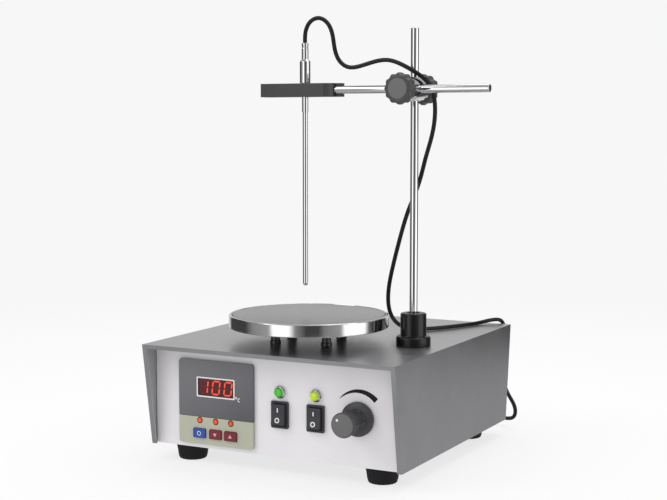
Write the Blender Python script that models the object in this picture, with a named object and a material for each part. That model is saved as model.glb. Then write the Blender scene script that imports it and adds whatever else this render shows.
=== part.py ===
"""A magnetic stirrer with a hot plate, a temperature controller and a rod stand that holds a temperature probe.

Units are metres and +Z is up. The front of the housing faces -Y. Sizes are given in the housing's own coordinates:
X from the housing's middle, Y backwards from the top cover's front edge, Z from the table. place() carries them to the
part's origin, the bottom centre of its box.
"""

import math

import bmesh
import bpy
import numpy as np
from mathutils import Matrix, Vector

# Housing
WIDTH = 0.230
DEPTH = 0.248
FOOT_HEIGHT = 0.0136
COVER_HEIGHT = 0.0854
COVER_TOP = FOOT_HEIGHT + COVER_HEIGHT
SHEET = 0.0012
FRONT_SET_BACK = 0.0133  # how far the cover's bottom edges stand behind its top ones
REAR_SET_BACK = 0.0103
PANEL_INSET = 0.0055  # how far the front panel stands behind the cover's bottom front edge
LIP = 0.004
PANEL_THICK = 0.0015
PANEL_STEP = 0.0130  # height of the rear panel's corners, cut away for the cover's lip
GAP = 0.0003  # left between pieces that touch
FEET_X = 0.0885
FEET_INSET_Y = 0.035

# Hot plate and magnet drive
PLATE_Y = 0.0768
PLATE_RADIUS = 0.0666
PLATE_TOP = COVER_TOP + 0.0235
PLATE_THICK = 0.0104
POST_CIRCLE = 0.031
POST_ANGLE = math.radians(-34)

# Front panel, places in X and Z
CONTROLLER = (-0.0539, 0.0521)
CONTROLLER_WIDTH, CONTROLLER_HEIGHT = 0.0711, 0.0700
CONTROLLER_DEPTH = 0.0265
SWITCHES = {"heat": 0.0057, "stir": 0.0380}
SWITCH_Z = 0.0486
SWITCH_HALF_WIDTH, SWITCH_HALF_HEIGHT = 0.00775, 0.0109
SWITCH_PIVOT = 0.0022  # how far behind the panel's face a rocker's axis lies
SWITCH_TILT = math.radians(5)
LAMP_Z = 0.0669
KNOB_X, KNOB_Z = 0.0755, 0.0521
KNOB_FRONT_Y = -0.0097

# Stand
ROD_X, ROD_Y = 0.0849, 0.1001
ROD_RADIUS = 0.0033
ROD_TOP = 0.3570
BORE_RADIUS = 0.0036
CROSS_Y = ROD_Y - 0.008
CROSS_Z = 0.3078
CROSS_RIGHT = 0.153
BOSS_RADIUS = 0.010
BOSS_FRONT, BOSS_BACK = 0.0785, 0.1115
CLAMP_KNOB_RADIUS = 0.0127
CLAMP_KNOB_THICK = 0.012
HOLDER_LEFT, HOLDER_RIGHT = -0.0507, 0.0220
HOLDER_HALF_DEPTH = 0.007
HOLDER_HALF_HEIGHT = 0.0056
PROBE_X = -0.0115
PROBE_TIP = 0.144
SLEEVE_TOP = 0.3468

# Rear panel, places in X and Z
INLET = (-0.060, 0.050)
SOCKET = (0.062, 0.037)
PLUG_END_Y = 0.269

# Sensor cord: its route from the probe to the plug, and the route points where one stretch ends and the next begins
CORD_DIAMETER = 0.0035
END_RUN = 0.001  # a short first and last run, so that the ends of two stretches face each other squarely
CORD_ROUTE = [
    (-0.0115, 0.0921, 0.3471), (-0.0110, 0.0921, 0.3560), (-0.0064, 0.0921, 0.3643), (0.0012, 0.0921, 0.3670),
    (0.0088, 0.0921, 0.3634), (0.0138, 0.0921, 0.3545), (0.0162, 0.0921, 0.3420), (0.0203, 0.0921, 0.3321),
    (0.0281, 0.0921, 0.3265), (0.0400, 0.0921, 0.3270), (0.0535, 0.0921, 0.3304), (0.0645, 0.0921, 0.3313),
    (0.0765, 0.0918, 0.3278), (0.0870, 0.0930, 0.3222), (0.0940, 0.0975, 0.3165), (0.0986, 0.1018, 0.3092),
    (0.1008, 0.1038, 0.2990), (0.1009, 0.1045, 0.2860), (0.0982, 0.1053, 0.2710), (0.0925, 0.1068, 0.2540),
    (0.0851, 0.1090, 0.2315), (0.0747, 0.1120, 0.2093), (0.0655, 0.1138, 0.1830), (0.0582, 0.1165, 0.1600),
    (0.0527, 0.1205, 0.1405), (0.0497, 0.1280, 0.1240), (0.0496, 0.1400, 0.1117), (0.0535, 0.1575, 0.1034),
    (0.0625, 0.1740, 0.1011), (0.0722, 0.1885, 0.1009), (0.0805, 0.2045, 0.1009), (0.0872, 0.2195, 0.1009),
    (0.0920, 0.2345, 0.1012), (0.0983, 0.2452, 0.1024), (0.1038, 0.2520, 0.1013), (0.1056, 0.2563, 0.0945),
    (0.1052, 0.2568, 0.0840), (0.1038, 0.2558, 0.0660), (0.1052, 0.2556, 0.0465), (0.1110, 0.2562, 0.0320),
    (0.1163, 0.2580, 0.0205), (0.1142, 0.2615, 0.0118), (0.1060, 0.2665, 0.0082), (0.0950, 0.2735, 0.0080),
    (0.0815, 0.2815, 0.0120), (0.0702, 0.2850, 0.0210), (0.0637, 0.2825, 0.0312), (0.0621, 0.2760, 0.0364),
    (0.0620, 0.2692, 0.0370),
]
CORD_STRETCHES = [
    ("cord_probe_loop", 0, 8), ("cord_arch", 8, 11), ("cord_clamp_turn", 11, 19), ("cord_drop", 19, 24),
    ("cord_tail", 24, len(CORD_ROUTE) - 1),
]

# The box of the pieces that aren't on the cord runs from the cover's left side to the cross rod's right end, and from
# the speed knob's face to the cover's rear edge.
ORIGIN_X = (CROSS_RIGHT - WIDTH / 2) / 2
ORIGIN_Y = (KNOB_FRONT_Y + DEPTH) / 2

FRONT_FACE = FRONT_SET_BACK + PANEL_INSET
REAR_FACE = DEPTH - REAR_SET_BACK
PLATE_BOTTOM = PLATE_TOP - PLATE_THICK


def place(x, y, z):
    """A point in the housing's coordinates, carried to the part's own frame."""
    return Vector((x - ORIGIN_X, y - ORIGIN_Y, z))


def material(name, color, roughness, metallic=0.0):
    made = bpy.data.materials.new(name)
    made.use_nodes = True
    shader = made.node_tree.nodes["Principled BSDF"]
    shader.inputs["Base Color"].default_value = (*color, 1)
    shader.inputs["Roughness"].default_value = roughness
    shader.inputs["Metallic"].default_value = metallic
    return made


def add(name, shape, finish, origin=None):
    """Makes an object of a bmesh in world coordinates, with its own origin at the given point."""
    bmesh.ops.recalc_face_normals(shape, faces=shape.faces)
    pivot = place(*origin) if origin else Vector()
    bmesh.ops.translate(shape, verts=shape.verts, vec=-pivot)
    mesh = bpy.data.meshes.new(name)
    shape.to_mesh(mesh)
    shape.free()
    mesh.shade_smooth()
    mesh.set_sharp_from_angle(angle=math.radians(35))
    thing = bpy.data.objects.new(name, mesh)
    thing.location = pivot
    bpy.context.scene.collection.objects.link(thing)
    mesh.materials.append(finish)
    return thing


def block(name, low, high, finish, bevel=0.0, origin=None, edges_along=None, segments=2):
    """A box between two corners, with all its edges bevelled, or only those along one axis."""
    shape = bmesh.new()
    bmesh.ops.create_cube(shape, size=1)
    low, high = place(*low), place(*high)
    for vert in shape.verts:
        vert.co = [low[k] + (vert.co[k] + 0.5) * (high[k] - low[k]) for k in range(3)]
    if bevel:
        edges = shape.edges
        if edges_along is not None:
            axis = "XYZ".index(edges_along)
            edges = [e for e in edges if abs(e.verts[0].co[axis] - e.verts[1].co[axis]) > 1e-6]
        bmesh.ops.bevel(shape, geom=list(edges), offset=bevel, segments=segments, affect="EDGES")
    return add(name, shape, finish, origin)


def prism(name, outline, axis, start, end, finish, origin=None):
    """An outline pulled along an axis. Its points are (y, z) for X, (x, z) for Y and (x, y) for Z."""
    order = {"X": lambda p, t: (t, p[0], p[1]), "Y": lambda p, t: (p[0], t, p[1]), "Z": lambda p, t: (p[0], p[1], t)}
    shape = bmesh.new()
    rings = [[shape.verts.new(place(*order[axis](p, t))) for p in outline] for t in (start, end)]
    shape.faces.new(rings[0])
    shape.faces.new(rings[1])
    for i in range(len(outline)):
        j = (i + 1) % len(outline)
        shape.faces.new((rings[0][i], rings[0][j], rings[1][j], rings[1][i]))
    return add(name, shape, finish, origin)


def turned(name, profile, centre, direction, finish, segments=32, closed=False, reach=None, origin=None):
    """A turned piece: (radius, distance) pairs along a direction, as a closed ring where it has a bore.

    reach(angle, radius) may change the radius with the angle, for flutes and lobes.
    """
    shape = bmesh.new()
    turn = Vector(direction).to_track_quat("Z", "Y").to_matrix().to_4x4()
    to_world = Matrix.Translation(place(*centre)) @ turn
    rings = []
    for radius, along in profile:
        if radius < 1e-6:
            rings.append([shape.verts.new(to_world @ Vector((0, 0, along)))])
            continue
        ring = []
        for i in range(segments):
            angle = 2 * math.pi * i / segments
            r = reach(angle, radius) if reach else radius
            ring.append(shape.verts.new(to_world @ Vector((r * math.cos(angle), r * math.sin(angle), along))))
        rings.append(ring)
    pairs = list(zip(rings, rings[1:] + rings[:1])) if closed else list(zip(rings, rings[1:]))
    for a, b in pairs:
        for i in range(segments):
            j = (i + 1) % segments
            corners = list(dict.fromkeys([a[i % len(a)], a[j % len(a)], b[j % len(b)], b[i % len(b)]]))
            if len(corners) > 2:
                shape.faces.new(corners)
    return add(name, shape, finish, origin)


def tool(thing):
    """Marks an object as a cutter or as half of a union, which isn't a piece of its own."""
    thing.hide_render = True
    thing.display_type = "WIRE"
    return thing


def combine(target, operation, *others):
    for other in others:
        change = target.modifiers.new(other.name, "BOOLEAN")
        change.operation = operation
        change.solver = "EXACT"
        change.object = tool(other)
    return target


def cut(target, *others):
    return combine(target, "DIFFERENCE", *others)


def join(target, *others):
    return combine(target, "UNION", *others)


def hole(name, radius, centre, direction, length, segments=24):
    """A round cutter, centred on a point."""
    half = length / 2
    return turned(name, [(0, -half), (radius, -half), (radius, half), (0, half)], centre, direction, STEEL, segments)


def arc(centre, radius, start, end, steps):
    """Points along a circle, with angles in degrees."""
    angles = [math.radians(start + (end - start) * i / steps) for i in range(steps + 1)]
    return [(centre[0] + radius * math.cos(a), centre[1] + radius * math.sin(a)) for a in angles]


def side_outline(inset, below=0.0):
    """The cover's side as (y, z): the top overhangs the panels, and its slanting ends run on below the bottom edge."""
    top, bottom = COVER_TOP - inset, FOOT_HEIGHT - below
    front_run, rear_run = (below * back / COVER_HEIGHT for back in (FRONT_SET_BACK, REAR_SET_BACK))
    return [
        (inset, top),
        (DEPTH - inset, top),
        (REAR_FACE - inset - rear_run, bottom),
        (FRONT_SET_BACK + inset + front_run, bottom),
    ]


def make_cover():
    half = WIDTH / 2
    cover = prism("top_cover", side_outline(0), "X", -half, half, STEEL)
    edges = bmesh.new()
    edges.from_mesh(cover.data)
    top = [e for e in edges.edges if all(v.co.z > COVER_TOP - 1e-4 for v in e.verts)]
    upright = [e for e in edges.edges if abs(e.verts[0].co.z - e.verts[1].co.z) > 0.01]
    bmesh.ops.bevel(edges, geom=top + upright, offset=0.0009, segments=2, affect="EDGES")
    edges.to_mesh(cover.data)
    edges.free()
    inner = half - SHEET
    cavity = prism("cover_cavity", side_outline(SHEET, 0.01), "X", -inner, inner, STEEL)
    window = half - LIP
    top_of_opening = COVER_TOP - LIP + 0.0005
    front = block("front_opening", (-window, -0.02, 0), (window, 0.06, top_of_opening), STEEL)
    rear = block("rear_opening", (-window, 0.19, 0), (window, DEPTH + 0.02, top_of_opening), STEEL)
    rod = hole("cover_rod_hole", ROD_RADIUS + 0.0008, (ROD_X, ROD_Y, COVER_TOP), (0, 0, 1), 0.01)
    cut(cover, cavity, front, rear, rod)


def make_panels():
    wide, narrow = WIDTH / 2 - SHEET - GAP, WIDTH / 2 - LIP - GAP
    top, step, bottom = COVER_TOP - SHEET - GAP, FOOT_HEIGHT + PANEL_STEP, FOOT_HEIGHT
    whole = [(-wide, top), (wide, top), (wide, bottom), (-wide, bottom)]
    stepped = [(-wide, top), (wide, top), (wide, step), (narrow, step), (narrow, bottom), (-narrow, bottom),
               (-narrow, step), (-wide, step)]
    front = prism("front_panel", whole, "Y", FRONT_FACE, FRONT_FACE + PANEL_THICK, PAINT)
    x, z = CONTROLLER
    half_x, half_z = CONTROLLER_WIDTH / 2 - 0.002, CONTROLLER_HEIGHT / 2 - 0.002
    cut(front, block("controller_cutout", (x - half_x, 0, z - half_z), (x + half_x, 0.03, z + half_z), PAINT))
    half_x, half_z = SWITCH_HALF_WIDTH - 0.0008, SWITCH_HALF_HEIGHT - 0.0008
    for name, switch_x in SWITCHES.items():
        low, high = (switch_x - half_x, 0, SWITCH_Z - half_z), (switch_x + half_x, 0.03, SWITCH_Z + half_z)
        cut(front, block(f"{name}_switch_cutout", low, high, PAINT))
        cut(front, hole(f"{name}_lamp_hole", 0.0043, (switch_x, FRONT_FACE, LAMP_Z), (0, 1, 0), 0.01))
    cut(front, hole("pot_hole", 0.0038, (KNOB_X, FRONT_FACE, KNOB_Z), (0, 1, 0), 0.01))

    rear = prism("rear_panel", stepped, "Y", REAR_FACE - PANEL_THICK, REAR_FACE, PAINT)
    x, z = INLET
    cut(rear, block("inlet_cutout", (x - 0.0153, 0.22, z - 0.0118), (x + 0.0153, 0.26, z + 0.0118), PAINT))
    x, z = SOCKET
    cut(rear, hole("socket_hole", 0.0063, (x, REAR_FACE, z), (0, 1, 0), 0.01))
    for i in range(6):
        slot_x = -0.026 + 0.009 * i
        low, high = (slot_x - 0.0014, 0.22, 0.050), (slot_x + 0.0014, 0.26, 0.076)
        cut(rear, block(f"vent_{i}", low, high, PAINT))


def make_base():
    half = WIDTH / 2 - SHEET - GAP
    bottom, rise = FOOT_HEIGHT, 0.012
    tray = [(-half, bottom), (half, bottom), (half, bottom + rise), (half - PANEL_THICK, bottom + rise),
            (half - PANEL_THICK, bottom + PANEL_THICK), (PANEL_THICK - half, bottom + PANEL_THICK),
            (PANEL_THICK - half, bottom + rise), (-half, bottom + rise)]
    start = FRONT_FACE + PANEL_THICK + GAP + 0.0012
    end = REAR_FACE - PANEL_THICK - GAP - 0.0012
    prism("base_pan", tray, "Y", start, end, STEEL)
    top = FOOT_HEIGHT - GAP
    profile = [(0, top), (0.0136, top), (0.0132, 0.0090), (0.0123, 0.0030), (0.0113, 0.0009), (0.0092, 0), (0, 0)]
    for side, x in (("left", -FEET_X), ("right", FEET_X)):
        for end_name, y in (("front", FEET_INSET_Y), ("rear", DEPTH - FEET_INSET_Y)):
            turned(f"foot_{end_name}_{side}", profile, (x, y, 0), (0, 0, 1), RUBBER, 20)


def make_hot_plate():
    middle = (0, PLATE_Y, 0)
    up = (0, 0, 1)
    r, rounding = PLATE_RADIUS, 0.0015
    rim = arc((r - rounding, PLATE_TOP - rounding), rounding, 0, 90, 3)
    inner = r - 0.0017
    profile = [(inner, PLATE_BOTTOM), (r, PLATE_BOTTOM), *rim, (0, PLATE_TOP), (0, PLATE_TOP - 0.0022),
               (inner, PLATE_TOP - 0.0022)]
    turned("hot_plate", profile, middle, up, CHROME, 64, closed=True)
    disc = [(0, PLATE_BOTTOM + 0.0032), (0.060, PLATE_BOTTOM + 0.0032), (0.060, PLATE_BOTTOM + 0.0072),
            (0, PLATE_BOTTOM + 0.0072)]
    turned("heater_disc", disc, middle, up, DARK_METAL, 32)
    shield = [(0, PLATE_BOTTOM + 0.0004), (inner - GAP, PLATE_BOTTOM + 0.0004), (inner - GAP, PLATE_BOTTOM + 0.0019),
              (0, PLATE_BOTTOM + 0.0019)]
    turned("plate_shield", shield, middle, up, STEEL, 48)
    for i in range(4):
        angle = POST_ANGLE + i * math.pi / 2
        at = (POST_CIRCLE * math.cos(angle), PLATE_Y + POST_CIRCLE * math.sin(angle), 0)
        bottom, top = COVER_TOP + GAP, PLATE_BOTTOM + 0.0001
        turned(f"plate_post_{i + 1}", [(0, bottom), (0.0045, bottom), (0.0045, top), (0, top)], at, up, STEEL, 16)


def make_drive():
    middle = (0, PLATE_Y, 0)
    up = (0, 0, 1)
    body = [(0, 0.0364), (0.020, 0.0364), (0.023, 0.0385), (0.023, 0.0700), (0.020, 0.0722), (0.008, 0.0722),
            (0.008, 0.0755), (0.0029, 0.0755), (0.0029, 0.0600), (0, 0.0600)]
    turned("motor_body", body, middle, up, DARK_METAL, 32)
    leg, foot, sheet = 0.036, 0.050, 0.0016
    base, deck = FOOT_HEIGHT + PANEL_THICK + GAP, 0.0361
    bridge = [(-foot, base), (-leg + sheet, base), (-leg + sheet, deck - sheet), (leg - sheet, deck - sheet),
              (leg - sheet, base), (foot, base), (foot, base + sheet), (leg, base + sheet), (leg, deck),
              (-leg, deck), (-leg, base + sheet), (-foot, base + sheet)]
    prism("motor_bracket", bridge, "Y", PLATE_Y - 0.030, PLATE_Y + 0.030, STEEL)
    axle = [(0, 0.0604), (0.0025, 0.0604), (0.0025, 0.0838), (0, 0.0838)]
    turned("motor_shaft", axle, middle, up, CHROME, 16, origin=middle)
    holder = [(0.0028, 0.0790), (0.006, 0.0790), (0.006, 0.0842), (0.026, 0.0842), (0.026, 0.0905), (0, 0.0905),
              (0, 0.0841), (0.0028, 0.0841)]
    turned("magnet_holder", holder, middle, up, BLACK_PLASTIC, 32, closed=True, origin=middle)
    magnet = [(0, 0.0908), (0.0065, 0.0908), (0.0065, 0.0948), (0, 0.0948)]
    for name, x in (("magnet_a", -0.0165), ("magnet_b", 0.0165)):
        turned(name, magnet, (x, PLATE_Y, 0), up, CHROME, 20, origin=middle)


def make_electrics():
    deck = FOOT_HEIGHT + PANEL_THICK + GAP
    core = block("transformer", (-0.095, 0.165, deck), (-0.035, 0.201, deck + 0.050), DARK_METAL)
    coil = block("transformer_coil", (-0.087, 0.157, deck + 0.010), (-0.043, 0.209, deck + 0.040), DARK_METAL)
    join(core, coil)
    board = block("control_board", (0.015, 0.140, deck + 0.010), (0.100, 0.215, deck + 0.0116), GREEN_BOARD)
    for i, (x, y) in enumerate(((0.020, 0.145), (0.095, 0.145), (0.020, 0.210), (0.095, 0.210))):
        leg = turned(f"board_leg_{i}", [(0, 0), (0.003, 0), (0.003, 0.0108), (0, 0.0108)], (x, y, deck), (0, 0, 1),
                     STEEL, 10)
        join(board, leg)
    x, z = CONTROLLER
    half_x, half_z = CONTROLLER_WIDTH / 2 - 0.0025, CONTROLLER_HEIGHT / 2 - 0.0025
    block("controller_case", (x - half_x, FRONT_FACE, z - half_z),
          (x + half_x, FRONT_FACE + CONTROLLER_DEPTH, z + half_z), BLACK_PLASTIC)


def make_controller_front():
    x, z = CONTROLLER
    half_x, half_z = CONTROLLER_WIDTH / 2, CONTROLLER_HEIGHT / 2
    face, back = FRONT_FACE - 0.0028, FRONT_FACE - GAP
    bezel = block("controller_bezel", (x - half_x, face, z - half_z), (x + half_x, back, z + half_z), GREY_PLASTIC,
                  bevel=0.0025, edges_along="Y")
    left, right, low, high = -0.0719, -0.0355, 0.0568, 0.0734
    window = block("window_opening", (left, 0, low), (right, 0.03, high), GREY_PLASTIC)
    cut(bezel, window)
    block("display_window", (left + GAP, face + 0.0003, low + GAP), (right - GAP, back - 0.0002, high - GAP), LENS_RED)
    keys = (("key_set", -0.0692, 0.0058, KEY_BLUE), ("key_down", -0.0539, 0.0057, KEY_RED),
            ("key_up", -0.0394, 0.0058, KEY_RED))
    key_low, key_high = 0.0226, 0.0302
    for name, key_x, half_key, finish in keys:
        opening = block(f"{name}_opening", (key_x - half_key - GAP, 0, key_low - GAP),
                        (key_x + half_key + GAP, 0.03, key_high + GAP), finish)
        cut(bezel, opening)
        block(name, (key_x - half_key, face - 0.0015, key_low), (key_x + half_key, face + 0.0018, key_high), finish,
              origin=(key_x, face, (key_low + key_high) / 2))


def make_switches():
    for name, x in SWITCHES.items():
        front, back, half_x, half_z = FRONT_FACE - 0.0020, FRONT_FACE - GAP, SWITCH_HALF_WIDTH, SWITCH_HALF_HEIGHT
        body = block(f"{name}_switch_body", (x - half_x, front, SWITCH_Z - half_z),
                     (x + half_x, back, SWITCH_Z + half_z), BLACK_PLASTIC, bevel=0.0008, edges_along="Y")
        half_x, half_z = half_x - 0.0011, half_z - 0.0011
        case = block(f"{name}_switch_case", (x - half_x, front + 0.0006, SWITCH_Z - half_z),
                     (x + half_x, FRONT_FACE + 0.0187, SWITCH_Z + half_z), BLACK_PLASTIC)
        half_x, half_z = half_x - 0.0006, half_z - 0.0006
        well = block(f"{name}_switch_well", (x - half_x, 0, SWITCH_Z - half_z),
                     (x + half_x, FRONT_FACE + 0.0087, SWITCH_Z + half_z), BLACK_PLASTIC)
        join(body, case)
        cut(body, well)
        half_height, tip, middle = half_z - 0.0009, -0.0076, -0.0069
        flat = [(tip, half_height), (middle, 0), (tip, -half_height), (-0.0012, -half_height), (0.0035, -0.0025),
                (0.0035, 0.0025), (-0.0012, half_height)]
        lean, rise = math.cos(SWITCH_TILT), math.sin(SWITCH_TILT)
        pivot_y, half_x = FRONT_FACE + SWITCH_PIVOT, half_x - GAP
        outline = [(pivot_y + y * lean + z * rise, SWITCH_Z - y * rise + z * lean) for y, z in flat]
        prism(f"{name}_rocker", outline, "X", x - half_x, x + half_x, BLACK_PLASTIC, origin=(x, pivot_y, SWITCH_Z))
        centre = (x, FRONT_FACE, LAMP_Z)
        out = (0, -1, 0)
        bezel = [(0.0038, 0.0036), (0.0042, 0.0031), (0.0042, 0.0022), (0.0052, 0.0017), (0.0052, GAP),
                 (0.0040, GAP), (0.0040, -0.0100), (0.0037, -0.0100), (0.0037, 0.0036)]
        turned(f"{name}_lamp_bezel", bezel, centre, out, CHROME, 20, closed=True)
        lens = [(0, -0.0080), (0.0034, -0.0080), (0.0034, 0.0044), (0.0029, 0.0052), (0.0016, 0.0057), (0, 0.0058)]
        turned(f"{name}_lamp_lens", lens, centre, out, LENS_GREEN if name == "heat" else LENS_YELLOW, 16)


def fluted(angle, radius):
    """Eight shallow flutes round the speed knob's body; its skirt and its bore stay round."""
    if not 0.0080 < radius < 0.0105:
        return radius
    return radius - 0.0005 * (0.5 - 0.5 * math.cos(8 * angle))


def make_speed_control():
    centre = (KNOB_X, FRONT_FACE, KNOB_Z)
    out = (0, -1, 0)
    pot = [(0, -0.0160), (0.012, -0.0160), (0.012, -0.0025), (0.0034, -0.0025), (0.0034, 0.0060), (0.0032, 0.0060),
           (0.0032, -0.0120), (0, -0.0120)]
    turned("speed_pot", pot, centre, out, DARK_METAL, 24)
    face = FRONT_FACE - KNOB_FRONT_Y
    shaft_end = face - 0.0070
    shaft = [(0, -0.0116), (0.0028, -0.0116), (0.0028, shaft_end), (0, shaft_end)]
    turned("pot_shaft", shaft, centre, out, CHROME, 16, origin=centre)
    skirt = [(0.0045, 0.0006), (0.0136, 0.0006), (0.0136, 0.0042), (0.0113, 0.0056)]
    body = [(0.0090, 0.0060), (0.0099, face - 0.0008), (0.0092, face), (0, face)]
    bore = [(0, shaft_end + 0.0005), (0.0032, shaft_end + 0.0005), (0.0032, 0.0066), (0.0045, 0.0066)]
    profile = [*skirt, *body, *bore]
    turned("speed_knob", profile, centre, out, BLACK_PLASTIC, 48, closed=True, reach=fluted, origin=centre)


def make_stand():
    up = (0, 0, 1)
    base = (ROD_X, ROD_Y, 0)
    foot, bore = COVER_TOP + GAP, ROD_RADIUS + GAP
    collar = [(bore, foot), (0.0143, foot), (0.0143, foot + 0.0060), (0.0133, foot + 0.0073),
              (0.0107, foot + 0.0078), (0.0107, foot + 0.0252), (0.0092, foot + 0.0266), (bore, foot + 0.0266)]
    turned("rod_collar", collar, base, up, BLACK_PLASTIC, 32, closed=True)
    below = COVER_TOP - SHEET - GAP
    nut = [(bore, below - 0.006), (0.0075, below - 0.006), (0.0075, below), (bore, below)]
    turned("rod_nut", nut, base, up, STEEL, 6 * 4, closed=True, reach=hexagon)
    rod = [(0, below - 0.010), (ROD_RADIUS, below - 0.010), (ROD_RADIUS, ROD_TOP - 0.0006),
           (ROD_RADIUS - 0.0006, ROD_TOP), (0, ROD_TOP)]
    turned("support_rod", rod, base, up, CHROME, 24)

    back = (0, 1, 0)
    axis = (ROD_X, 0, CROSS_Z)
    chamfer = 0.0006
    body = [(0, BOSS_FRONT), (BOSS_RADIUS - chamfer, BOSS_FRONT), (BOSS_RADIUS, BOSS_FRONT + chamfer),
            (BOSS_RADIUS, BOSS_BACK - chamfer), (BOSS_RADIUS - chamfer, BOSS_BACK), (0, BOSS_BACK)]
    head = turned("boss_head", body, axis, back, CHROME, 32, origin=(ROD_X, ROD_Y, CROSS_Z))
    rod_bore = hole("boss_rod_bore", BORE_RADIUS, (ROD_X, ROD_Y, CROSS_Z), up, 0.05)
    cross_bore = hole("boss_cross_bore", BORE_RADIUS, (ROD_X, CROSS_Y, CROSS_Z), (1, 0, 0), 0.05)
    front_bore = hole("boss_front_bore", 0.0031, (ROD_X, BOSS_FRONT, CROSS_Z), back, 0.022)
    back_bore = hole("boss_back_bore", 0.0031, (ROD_X, BOSS_BACK, CROSS_Z), back, 0.018)
    cut(head, rod_bore, cross_bore, front_bore, back_bore)

    t, edge = CLAMP_KNOB_THICK, 0.0014
    knob = [(0.0029, 0), (0.0090, 0), (CLAMP_KNOB_RADIUS - edge, 0.0012), (CLAMP_KNOB_RADIUS, 0.0030),
            (CLAMP_KNOB_RADIUS, t - 0.0030), (CLAMP_KNOB_RADIUS - edge, t - 0.0008), (0.0082, t), (0, t),
            (0, 0.0093), (0.0029, 0.0093)]
    ends = (("front", BOSS_FRONT, (0, -1, 0), CROSS_Y - ROD_RADIUS), ("rear", BOSS_BACK, back, ROD_Y + ROD_RADIUS))
    for name, y, out, stop in ends:
        seat = (ROD_X, y + out[1] * GAP, CROSS_Z)
        turned(f"{name}_clamp_knob", knob, seat, out, GREY_PLASTIC, 48, closed=True, reach=lobed, origin=seat)
        inner = -(abs(y - stop) - 2 * GAP)
        screw = [(0, inner), (0.0026, inner), (0.0026, 0.0090), (0, 0.0090)]
        turned(f"{name}_clamp_screw", screw, seat, out, STEEL, 16, origin=seat)

    rod_left = HOLDER_RIGHT - 0.016
    cross = [(0, rod_left), (ROD_RADIUS, rod_left), (ROD_RADIUS, CROSS_RIGHT - 0.0005),
             (ROD_RADIUS - 0.0005, CROSS_RIGHT), (0, CROSS_RIGHT)]
    turned("cross_rod", cross, (0, CROSS_Y, CROSS_Z), (1, 0, 0), CHROME, 24, origin=(ROD_X, CROSS_Y, CROSS_Z))


def hexagon(angle, radius):
    """A hexagon's edge at an angle, with the bore left round."""
    if radius < 0.005:
        return radius
    part = (angle + math.pi / 6) % (math.pi / 3) - math.pi / 6
    return radius * math.cos(math.pi / 6) / math.cos(part)


def lobed(angle, radius):
    """Twelve shallow lobes round a hand knob; its flat faces and its bore stay round."""
    if radius < 0.0110:
        return radius
    return radius - 0.0009 * (0.5 - 0.5 * math.cos(12 * angle))


def make_probe():
    low, high = CROSS_Z - HOLDER_HALF_HEIGHT, CROSS_Z + HOLDER_HALF_HEIGHT
    front, back = CROSS_Y - HOLDER_HALF_DEPTH, CROSS_Y + HOLDER_HALF_DEPTH
    holder = block("probe_holder", (HOLDER_LEFT, front, low), (HOLDER_RIGHT, back, high), BLACK_PLASTIC,
                   bevel=0.0006, segments=1, origin=(ROD_X, CROSS_Y, CROSS_Z))
    rod_hole = hole("holder_rod_hole", ROD_RADIUS + GAP, (HOLDER_RIGHT, CROSS_Y, CROSS_Z), (1, 0, 0), 0.033)
    probe_hole = hole("holder_probe_hole", 0.0030, (PROBE_X, CROSS_Y, CROSS_Z), (0, 0, 1), 0.03)
    stop, depth, radius = HOLDER_RIGHT - 0.0052, 0.0026, 0.0121
    hollow = arc((stop, front + depth - radius), radius, 135, 90, 6)
    scoop = [(hollow[0][0], front - 0.002), *hollow, (stop, CROSS_Y), (HOLDER_RIGHT + 0.002, CROSS_Y),
             (HOLDER_RIGHT + 0.002, front - 0.002)]
    cut(holder, rod_hole, probe_hole, prism("holder_scoop", scoop, "Z", low - 0.002, high + 0.002, BLACK_PLASTIC))

    middle = (PROBE_X, CROSS_Y, 0)
    up = (0, 0, 1)
    ferrule_end, seat = 0.2896, high + GAP
    sleeve = [(0.0024, ferrule_end), (0.0027, ferrule_end), (0.0027, seat), (0.00455, seat), (0.00455, 0.3315),
              (0.0040, 0.3329), (0.00288, 0.3329), (0.00288, SLEEVE_TOP - 0.0004), (0.0025, SLEEVE_TOP),
              (0, SLEEVE_TOP), (0, ferrule_end + 0.0204), (0.0024, ferrule_end + 0.0204)]
    turned("probe_sleeve", sleeve, middle, up, CHROME, 24, closed=True, origin=(PROBE_X, CROSS_Y, CROSS_Z))
    r = 0.0022
    tube = [(0, PROBE_TIP), *arc((0, PROBE_TIP + r), r, -60, 0, 2), (r, ferrule_end + 0.020),
            (0, ferrule_end + 0.020)]
    turned("probe_tube", tube, middle, up, CHROME, 16, origin=(PROBE_X, CROSS_Y, CROSS_Z))


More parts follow.
